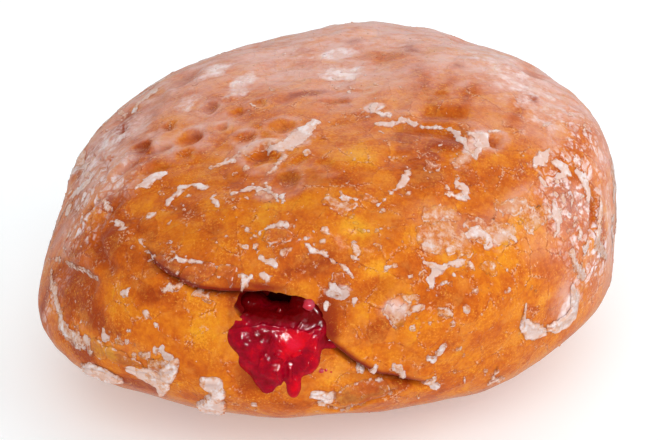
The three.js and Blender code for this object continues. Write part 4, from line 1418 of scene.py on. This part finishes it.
class Glaze:
    """One kind of glaze, laid stroke by stroke into one bmesh. Sizes are in millimetres: its
    grid, how ragged and thick it is, how far its edge is rounded, and its rim and lift."""

    def __init__(self, grid, ragged, thick, rounding, rim, lift=0.03):
        self.bm = bmesh.new()
        self.bm.verts.layers.float.new("inside")
        self.bm.verts.layers.float.new("body")
        self.grid, self.ragged, self.thick = grid, ragged, thick
        self.rounding, self.rim, self.lift = rounding, rim, lift

    def lay(self, nodes, widths, seed, body):
        """Lays a plate inside a stroke of varying half width, whose nodes are on the bare form."""
        middle = nodes.mean(0)
        _, side, up = tangents(middle)
        edge = max(widths) + 1
        spread = np.stack([(nodes - middle) @ side, (nodes - middle) @ up], 1)
        low, high = spread.min(0) - edge, spread.max(0) + edge
        count = np.maximum((high - low) / self.grid, 2).astype(int)
        patch = bmesh.new()
        bmesh.ops.create_grid(patch, x_segments=count[0], y_segments=count[1], size=0.5)
        flat = low + (rows_of(patch)[:, :2] + 0.5) * (high - low)

        def inside_at(flat):
            start = middle + flat[:, :1] * side + flat[:, 1:] * up
            foot = form_point(direction_of(start))
            return stroke_depth(foot, nodes, widths) + rag(foot, self.ragged, seed), foot

        inside, _ = inside_at(flat)
        number = patch.verts.layers.int.new("number")
        for i, v in enumerate(patch.verts):
            v[number] = i
        outside = [f for f in patch.faces if max(inside[v.index] for v in f.verts) <= 0]
        if len(outside) == len(patch.faces):
            patch.free()
            return
        bmesh.ops.delete(patch, geom=outside, context="FACES")
        kept = [v[number] for v in patch.verts]
        flat, inside = flat[kept], inside[kept]
        slope = np.stack([(inside_at(flat + move)[0] - inside) / SLOPE_STEP
                          for move in ([SLOPE_STEP, 0], [0, SLOPE_STEP])], 1)
        steep = np.maximum((slope**2).sum(1), LEAST_SLOPE)
        back = slope * (np.maximum(-inside, 0) / steep)[:, None]
        far = np.linalg.norm(back, axis=1)
        flat = flat + back * (np.minimum(far, self.grid) / np.maximum(far, 1e-9))[:, None]
        inside, foot = inside_at(flat)
        inside = np.maximum(inside, 0)
        skin = crust_point(direction_of(foot))
        height = self.lift + self.thick * smooth(inside, -0.3 * self.rounding, self.rounding)
        height += self.rim * bell(inside - self.rounding, 0.8 * self.rounding)
        height += 0.25 * self.thick * ripple(foot, 1.8, seed + 3)
        put_rows(patch, skin + outward(foot) * height[:, None])
        layers = [patch.verts.layers.float.new(name) for name in ("inside", "body")]
        for v, value in zip(patch.verts, inside):
            v[layers[0]] = value
            v[layers[1]] = body
        bmesh.ops.solidify(patch, geom=patch.faces[:], thickness=self.thick + UNDERSIDE)
        piece = bpy.data.meshes.new("patch")
        patch.to_mesh(piece)
        patch.free()
        self.bm.from_mesh(piece)
        bpy.data.meshes.remove(piece)

    def lay_all(self, strokes, seed, body):
        """Lays strokes of points on the crust and half widths, with how opaque each one is."""
        feet = under(np.concatenate([places for places, _ in strokes]))
        first = 0
        for i, (places, widths) in enumerate(strokes):
            nodes = feet[first : first + len(places)]
            first += len(places)
            self.lay(nodes, widths, seed + 10 * i, body[i])

    def lay_seen(self, strokes, seed, body):
        """Lays the strokes that are given as the camera sees them."""
        places = [([seen_at(column, row) for column, row, _ in nodes],
                   [width / POINTS_PER_MM for _, _, width in nodes]) for nodes in strokes.values()]
        self.lay_all(places, seed, body)

    def piece(self, name, material):
        place(self.bm)
        piece = piece_from(name, self.bm)
        piece.data.set_sharp_from_angle(angle=math.radians(SHARP_EDGE))
        colour_crust(piece)
        piece.data.materials.append(material)
        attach(piece, "root")


FLAKE_PINK = (0.72, 0.38, 0.25)
FLAKE_WHITE = (0.74, 0.48, 0.41)
FLAKE_RIM_AND_HIGHLIGHT = (0.9, 0.7, 0.62)
glaze = Shader("dried_glaze")
inward = glaze.attribute("inside")
opacity = glaze.plus(
    glaze.attribute("body"), glaze.span(inward, 0.04, 0.35, -0.3, 0.15),
    glaze.mottle(3.6, 1.3, 5, 0.65), glaze.mottle(1.2, 0.45, 3, 0.6))
sugar = glaze.mix(glaze.span(opacity, 0.5, 1.1), FLAKE_PINK, FLAKE_WHITE)
bright = glaze.times(glaze.span(opacity, 0.7, 1.2),
                     glaze.span(glaze.noise(1.8, 4), 0.46, 0.62, 0, 0.8))
sugar = glaze.mix(bright, sugar, SUGAR_BRIGHT)
glaze_colour = glaze.mix(glaze.span(opacity, 0, 0.8), crust_colour(glaze), sugar)
# A pale rim inside each border: thicker glaze with a painted highlight on the edge.
rim = glaze.times(glaze.span(inward, 0.02, 0.24, 0.75, 0),
                  glaze.span(glaze.noise(1.1, 2), 0.5, 0.6))
glaze_colour = glaze.mix(rim, glaze_colour, FLAKE_RIM_AND_HIGHLIGHT)
# A thin brown line at the very border: painted shadow at the flake's edge.
outline = glaze.span(inward, 0, 0.08, 0.4, 0)
glaze.set(
    Base_Color=glaze.mix(outline, glaze_colour, CRUST_BROWN),
    Roughness=0.4, Specular_IOR_Level=0.2, Coat_Weight=0.6, Coat_Roughness=0.14, Coat_IOR=1.35,
    Subsurface_Weight=0.3, Subsurface_Radius=(0.0015, 0.001, 0.0008), Subsurface_Scale=1.0,
    Normal=glaze.bump(glaze.noise(0.8, 4), 0.2))

# How opaque each kind is: the crust shows through the thin flakes, and most of all the plates.
FLAKE_BODY, THIN_BODY, DRIP_BODY = 1.1, 0.6, 0.82
WIDE_FILM_BODY, FILM_BODY, PLATE_BODY = 0.2, 0.15, -0.4

flakes = Glaze(grid=0.22, ragged=0.42, thick=0.1, rounding=0.14, rim=0.05)
flakes.lay_seen(FLAKES, 100, [THIN_BODY if "thin" in name else FLAKE_BODY for name in FLAKES])
flakes.piece("glaze_flakes", glaze.material)

drips = Glaze(grid=0.22, ragged=0.16, thick=0.4, rounding=0.5, rim=0)
drips.lay_seen(DRIPS, 7000, [DRIP_BODY] * len(DRIPS))
drips.piece("glaze_drips", glaze.material)

films = Glaze(grid=0.3, ragged=0.55, thick=0.08, rounding=0.2, rim=0.05, lift=0.02)
films.lay_seen(FILMS, 3000, [WIDE_FILM_BODY if "wide" in name else FILM_BODY for name in FILMS])
films.piece("glaze_films", glaze.material)

plates = Glaze(grid=0.24, ragged=0.3, thick=0.18, rounding=0.3, rim=0.1, lift=0.04)
plates.lay_seen(PLATES, 5000, [PLATE_BODY] * len(PLATES))
plates.piece("glaze_plates", glaze.material)

# Crumbs of glaze in drifts, where it crazed: column, row, half width, half height, number of
# crumbs and the slant of their long side in degrees.
DRIFTS = {
    "right shoulder": (562, 188, 14, 20, 15, 75),
    "right flank": (572, 222, 12, 22, 14, 80),
    "right flank, low": (580, 262, 12, 22, 13, 70),
    "right edge": (602, 232, 5, 28, 9, 88),
    "right rim, high": (584, 132, 14, 20, 12, 60),
    "dome, right": (552, 122, 24, 12, 6, 20),
    "left shoulder": (92, 200, 16, 24, 13, 120),
    "left flank": (64, 262, 12, 28, 13, 110),
    "left heel": (76, 330, 18, 16, 13, 45),
    "lower left": (116, 345, 28, 12, 12, 25),
    "left of the fold": (155, 255, 28, 16, 13, 20),
    "along the upper fold": (190, 275, 32, 8, 13, 15),
    "brow": (250, 235, 36, 12, 16, 0),
    "over the hole": (306, 246, 34, 16, 16, 30),
    "middle": (370, 230, 38, 22, 22, 0),
    "by the T": (440, 275, 42, 14, 17, 0),
    "right belly": (430, 320, 46, 28, 17, 20),
    "right": (520, 290, 36, 28, 10, 30),
    "low right": (480, 372, 44, 8, 10, 10),
    "lower lip": (350, 393, 44, 7, 13, 10),
    "under the left belly": (215, 393, 26, 8, 6, 20),
    "dome": (300, 100, 100, 40, 22, 0),
    "before the dome": (400, 160, 80, 22, 22, 10),
    "arch": (240, 190, 44, 14, 17, 10),
    "left brow": (190, 210, 36, 18, 13, 20),
}
CRUMB_WIDTH, CRUMB_SPREAD, CRUMB_TURN = 0.6, 2.0, 35
CRUMB_BODY = (-0.1, 0.9)

# None lies on the jelly: column and row of its middle, how flattened its round is, and its reach.
JELLY_SEEN, JELLY_FLATTENED, JELLY_CLEAR = (276, 332), 1.3, 62
draw = np.random.default_rng(71)
crumb_strokes = []
for column, row, half_width, half_height, number, slant in DRIFTS.values():
    for _ in range(number):
        spot = np.array([column, row]) + draw.normal(size=2) * 0.6 * [half_width, half_height]
        width = CRUMB_WIDTH + CRUMB_SPREAD * draw.uniform() ** 2.5
        turn = math.radians(slant + draw.normal() * CRUMB_TURN)
        run = np.array([math.cos(turn), -math.sin(turn)]) * width * draw.uniform(0.1, 1.2)
        bend = draw.normal(size=2) * 0.4 * width
        ends = [spot - run, spot + bend, spot + run]
        hits = [crust_tree.ray_cast(camera_place, Vector(camera_ray(*end)))[0] for end in ends]
        away = (spot - JELLY_SEEN) * [1, JELLY_FLATTENED]
        if math.hypot(*away) > JELLY_CLEAR and None not in hits:
            share = draw.uniform(0.4, 1, size=3)
            crumb_strokes.append(([np.array(hit) for hit in hits], width * share / POINTS_PER_MM))
crumbs = Glaze(grid=0.2, ragged=0.14, thick=0.07, rounding=0.08, rim=0.02, lift=0.02)
crumbs.lay_all(crumb_strokes, 20000, draw.uniform(*CRUMB_BODY, size=len(crumb_strokes)))
crumbs.piece("glaze_crumbs", glaze.material)

# Round the sides and the back, which the camera doesn't see, the same glaze lies at random.
LOOSE_FLAKES = 420
LOOSE_AZIMUTHS, LOOSE_HEIGHTS, LOOSE_BODY = (-12, 192), (5, 38), (0.3, 1)
LOOSE_WIDTH, LOOSE_SPREAD = 0.2, 1.3
loose_strokes = []
for _ in range(LOOSE_FLAKES):
    start = on_form(draw.uniform(*LOOSE_AZIMUTHS), draw.uniform(*LOOSE_HEIGHTS))
    size = LOOSE_WIDTH + LOOSE_SPREAD * draw.uniform() ** 3
    lean = draw.uniform(0, math.pi)
    _, side, up = tangents(start)
    run = side * math.cos(lean) + up * math.sin(lean)
    ends = [start + run * size * k * draw.uniform(1, 2.4) for k in (-1, 0, 1)]
    loose_strokes.append((ends, size * draw.uniform(0.3, 1, size=3)))
loose = Glaze(grid=0.28, ragged=0.3, thick=0.08, rounding=0.12, rim=0.03)
loose.lay_all(loose_strokes, 9000, draw.uniform(*LOOSE_BODY, size=LOOSE_FLAKES))
loose.piece("glaze_flakes_behind", glaze.material)

# Grains and blisters of sugar, a few tenths of a millimetre across.
SPECKS, SPECK_BODY = 1400, 0.2
SPECK_RADIUS, SPECK_SPREAD = 0.07, 0.2
SPECK_FREE_AT, SPECK_FREE_REACH, SPECK_LOWEST = (-1, 0, 24), 11, 2
specks = bmesh.new()
feet = form_point(unit(draw.normal(size=(3 * SPECKS, 3))))
chosen = draw.uniform(size=len(feet)) < 0.35 + 0.5 * spots(feet, FLAKY)
clear = np.linalg.norm(feet - at_hole(*SPECK_FREE_AT), axis=1) > SPECK_FREE_REACH
feet = feet[chosen & clear & (feet[:, 2] > SPECK_LOWEST)]
for skin in crust_point(direction_of(feet)):
    radius = SPECK_RADIUS + SPECK_SPREAD * draw.uniform() ** 3
    turn = Vector(outward(skin)).to_track_quat("Z", "Y").to_matrix().to_4x4()
    flat = Matrix.Diagonal((1, draw.uniform(0.6, 1.2), 0.5, 1))
    bmesh.ops.create_icosphere(specks, subdivisions=1, radius=radius,
                               matrix=Matrix.Translation(skin) @ turn @ flat)
place(specks)
speck_piece = piece_from("glaze_specks", specks)
colour_crust(speck_piece)
for name, value in {"inside": 1, "body": SPECK_BODY}.items():
    set_attribute(speck_piece, name, np.full(len(speck_piece.data.vertices), value))
speck_piece.data.materials.append(glaze.material)
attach(speck_piece, "root")


# ------------------------------------------------------------------ surface, light and camera
# A plain white surface, soft boxes above and behind, and the camera a little above the dome.

FLOOR_HALF = 4
PAPER_WHITE = (0.78, 0.83, 0.85, 1)
WHITE = (1, 1, 1, 1)
PAPER_GLOW, WORLD_GLOW = 0.25, 0.5
SENSOR_WIDTH = 36

floor_bm = bmesh.new()
bmesh.ops.create_grid(floor_bm, x_segments=1, y_segments=1, size=FLOOR_HALF)
floor = piece_from("floor", floor_bm)
paper = Shader("white_paper")
paper.set(Base_Color=PAPER_WHITE, Roughness=0.9, Emission_Color=WHITE,
          Emission_Strength=PAPER_GLOW)
floor.data.materials.append(paper.material)
floor.visible_glossy = False


def soft_box(name, azimuth, elevation, distance, size, power, glossy=True, diffuse=True):
    """An area light that looks at the doughnut, and may light it only, or only be mirrored."""
    lamp = bpy.data.lights.new(name, "AREA")
    lamp.shape = "RECTANGLE"
    lamp.size, lamp.size_y = size
    lamp.energy = power
    light = bpy.data.objects.new(name, lamp)
    a, e = math.radians(azimuth), math.radians(elevation)
    away = Vector((math.cos(e) * math.cos(a), math.cos(e) * math.sin(a), math.sin(e)))
    light.location = away * distance
    light.rotation_euler = away.to_track_quat("Z", "Y").to_euler()
    light.visible_glossy = glossy
    light.visible_diffuse = diffuse
    bpy.context.scene.collection.objects.link(light)
    return light


soft_box("soft_box_back", 72, 35, 1.0, (1.8, 0.8), 5)
soft_box("soft_box_right", -15, 26, 0.9, (0.9, 0.7), 3.5, glossy=False)
soft_box("soft_box_front", -105, 45, 1.0, (1.0, 1.0), 4, glossy=False)
soft_box("soft_box_low", -80, 8, 1.0, (1.6, 0.4), 3, glossy=False)
soft_box("lamp_above", -80, 66, 0.9, (0.2, 0.14), 1.2, diffuse=False)

# Two bright lamps make the highlights of the wet jelly.
jelly_lamps = [
    soft_box("lamp_on_the_jelly", -80, 38, 0.9, (0.9, 0.5), 80, diffuse=False),
    soft_box("lamp_on_the_jelly_right", -42, 42, 0.9, (0.5, 0.3), 40, diffuse=False),
]
wet = bpy.data.collections.new("wet_jelly")
wet.objects.link(jelly)
wet.objects.link(jelly_drops)
for lamp in jelly_lamps:
    lamp.data.shape = "ELLIPSE"
    lamp.light_linking.receiver_collection = wet

world = bpy.data.worlds.new("studio")
world.use_nodes = True
background = world.node_tree.nodes["Background"]
background.inputs["Color"].default_value = WHITE
background.inputs["Strength"].default_value = WORLD_GLOW
bpy.context.scene.world = world
bpy.context.scene.view_settings.view_transform = "Standard"

lens = bpy.data.cameras.new("camera")
lens.sensor_width = SENSOR_WIDTH
lens.lens = FOCAL_LENGTH / PICTURE[0] * SENSOR_WIDTH
camera = bpy.data.objects.new("camera", lens)
camera.location = (camera_place + Vector(seat)) * MM
camera.rotation_euler = camera_turn.to_euler()
bpy.context.scene.collection.objects.link(camera)
bpy.context.scene.camera = camera
